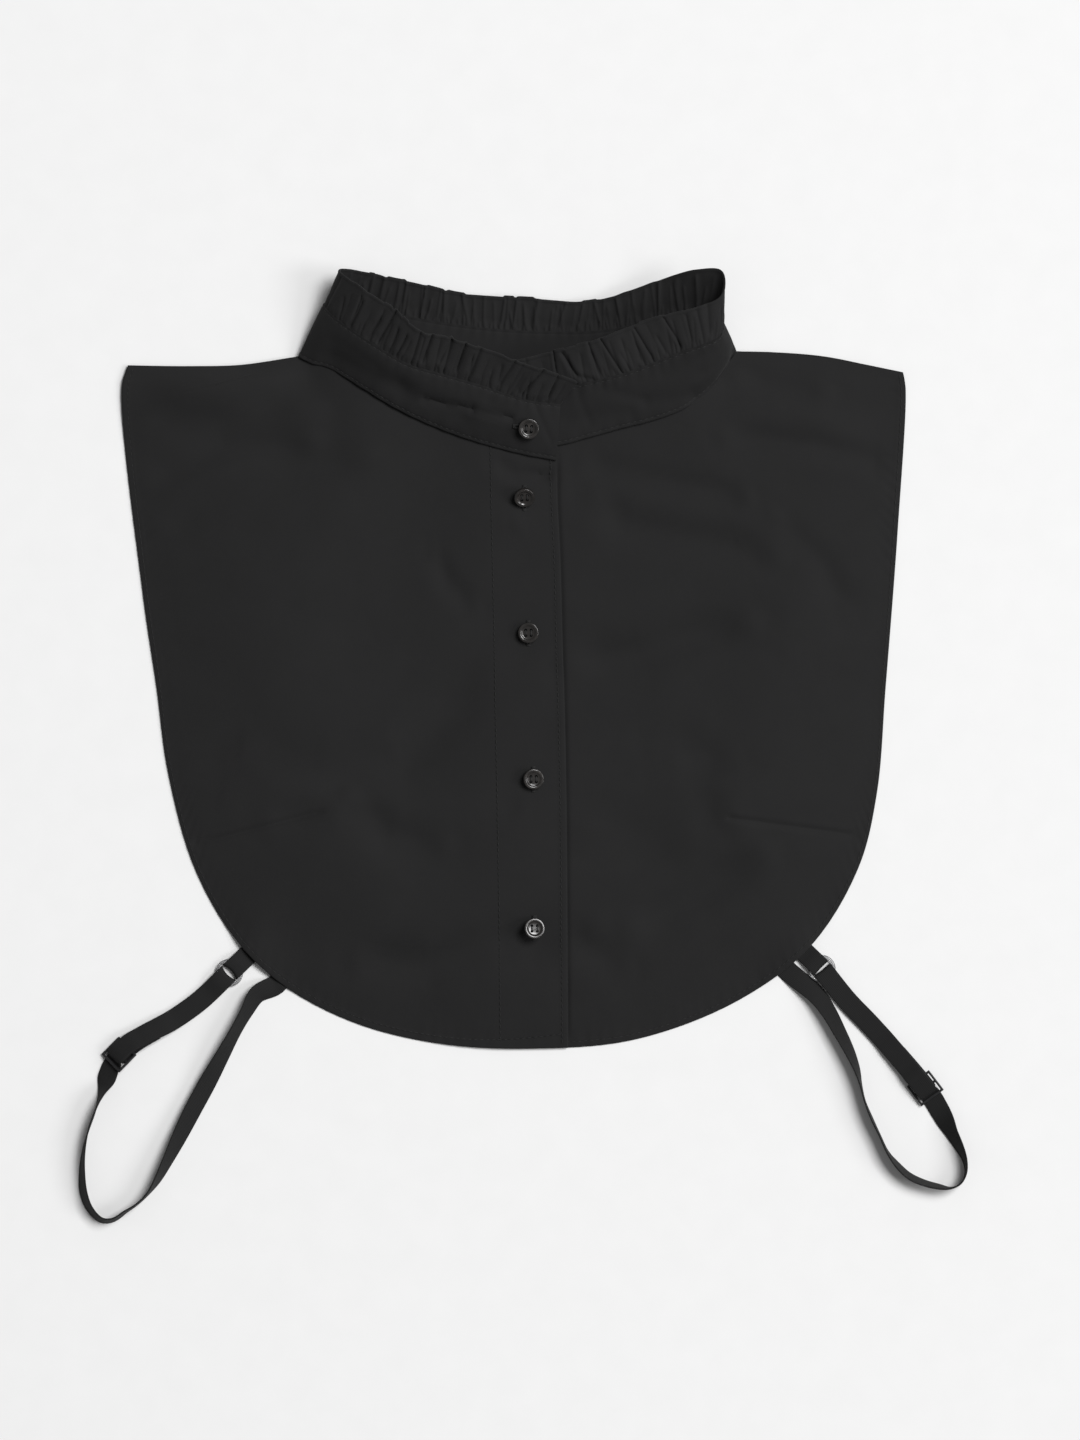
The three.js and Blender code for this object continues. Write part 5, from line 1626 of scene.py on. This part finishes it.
def button_shape():
    deselect_all()
    bpy.ops.mesh.primitive_cylinder_add(vertices=72, radius=BUTTON_R * MM, depth=2 * BUTTON_HALF * MM)
    button = bpy.context.object
    bpy.ops.object.mode_set(mode="EDIT")
    pick(button, "faces", lambda face: face.normal.z > 0.9)
    for width, sunk in BUTTON_RIMS:
        bpy.ops.mesh.inset(thickness=width * MM, depth=-sunk * MM)
    pick(button, "faces", lambda face: face.normal.z < -0.9)
    bpy.ops.mesh.inset(thickness=BUTTON_BACK_RIM * MM, depth=0)
    bpy.ops.object.mode_set(mode="OBJECT")
    soften(button, BUTTON_SOFT, segments=5, degrees=25)
    drills = []
    for x, y in ((-1, -1), (-1, 1), (1, -1), (1, 1)):
        deselect_all()
        bpy.ops.mesh.primitive_cylinder_add(
            vertices=24, radius=BUTTON_HOLE_R * MM, depth=DRILL_LENGTH * MM,
            location=(x * BUTTON_HOLE_AT * MM, y * BUTTON_HOLE_AT * MM, 0))
        drills.append(bpy.context.object)
    cut_out(button, drills)
    return shade_by_angle(button, 35)


BUTTONHOLE_END = 3  # the buttonhole lies before this section of the band


def band_frame(x, y):
    """Where a point in plan lies on the buttonhole end of the band."""
    reach = np.linspace(0, BUTTONHOLE_END / SECTIONS, 121)
    t, v = (values.ravel() for values in np.meshgrid(reach, np.linspace(0, 1, 61)))
    points = band_point(t, v)
    best = int(np.argmin(np.hypot(points[:, 0] - x, points[:, 1] - y)))
    t, v = t[best], v[best]
    up = unit(band_point(t, v + 0.02) - band_point(t, v - 0.02))[0]
    normal = outward_at(base_curve, seam_curve, np.array([t]))[0]
    out = unit(normal - up * (normal @ up))
    return points[best], np.cross(up, out), up, out


def cloth_frame(index):
    x, y = BUTTONS[index][:2]
    if index == 0:
        point, side, up, out = band_frame(x, y)
        return point + out * BAND / 2, side, up, out
    step = 3.0

    def height(px, py):
        return float(front_height(np.array([[px, py]]))[0]) + OVERLAP_LIFT + CLOTH / 2

    side = unit(np.array([2 * step, 0, height(x + step, y) - height(x - step, y)]))
    along = unit(np.array([0, 2 * step, height(x, y + step) - height(x, y - step)]))
    out = unit(np.cross(side, along))
    return np.array([x, y, height(x, y)]), side, np.cross(out, side), out


# Buttonholes in close stitches
SLIT_HALF = 6.4
SLIT_STEP = 0.42
SLIT_TACK = 1.1  # thicker bars this far from each end
SLIT_BARS = ((0.78, 1.0), (-0.78, 1.0))  # shift across and length
TACK_BARS = ((0.0, 2.5),)
SLIT_THREAD_R = 0.23
SLIT_LIFT = 0.06
SLIT_OVER_CLOTH = 0.3
BAND_SLIT_SHIFT = 1.2
BAND_SLIT_SINK = 0.12
CROSS_LENGTH = 3.4
CROSS_R = 0.36


def buttonhole(middle_at, across, out):
    """Close bars down both sides of the slit and a thicker tack at each end."""
    for s in np.arange(-SLIT_HALF, SLIT_HALF + 0.01, SLIT_STEP):
        for shift, length in TACK_BARS if abs(s) > SLIT_HALF - SLIT_TACK else SLIT_BARS:
            place = middle_at(s) + across * shift + out * SLIT_LIFT
            sewing_on_fronts.stitch(place, across, out, length, SLIT_THREAD_R)


def on_cloth(x, y):
    point = np.array([[x, y]])
    height = front_height(point) + fine_creases(point) + OVERLAP_LIFT + POPLIN + SLIT_OVER_CLOTH
    return np.array([x, y, height[0]])


def sew_button(index, x, y, tilt_x, tilt_y):
    """A button that touches the cloth with its lower edge, its shank's thread and its buttonhole."""
    top, side, up, out = cloth_frame(index)
    tilt = Matrix.Rotation(math.radians(tilt_x), 4, "X") @ Matrix.Rotation(math.radians(tilt_y), 4, "Y")
    turned = matrix_of(side, up, out, top) @ tilt
    x_axis, y_axis, z_axis = (np.array(turned.col[k].xyz) for k in range(3))
    slope = math.acos(np.clip(out @ z_axis, -1, 1))
    middle = top + out * (BUTTON_R * math.sin(slope) + BUTTON_HALF * math.cos(slope) + GAP)
    turned.translation = (middle + SHIFT) * MM
    set_down(button_model, f"resin_button_{index + 1}", turned, resin,
             f"button_{index + 1}")
    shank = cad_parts[f"button_shank_{index + 1}"]
    shank.data.materials.clear()
    shank.data.materials.append(thread)
    if index == 0:
        buttonhole(lambda s: top + side * (s - BAND_SLIT_SHIFT) - out * BAND_SLIT_SINK, up, out)
    else:
        buttonhole(lambda s: on_cloth(x, y + s), side, out)
    # Thread from hole to hole across the button's dish
    for across in (-BUTTON_HOLE_AT, BUTTON_HOLE_AT):
        place = middle + x_axis * across + z_axis * (BUTTON_HALF - BUTTON_DISH)
        sewing_on_fronts.stitch(place, y_axis, z_axis, CROSS_LENGTH, CROSS_R)


button_model = button_shape()
for index, row in enumerate(BUTTONS):
    sew_button(index, *row)
bpy.data.objects.remove(button_model)
sewing_on_fronts.piece("topstitching")
sewing_on_collar.piece("collar_stitching")

# Floor
FLOOR_HALF_M = 6.0
floor_mesh = bpy.data.meshes.new("floor")
corners = [(x * FLOOR_HALF_M, y * FLOOR_HALF_M, 0) for x, y in ((-1, -1), (1, -1), (1, 1), (-1, 1))]
floor_mesh.from_pydata(corners, [], [(0, 1, 2, 3)])
floor_mesh.materials.append(floor_material())
floor = put_in_scene("floor", floor_mesh)
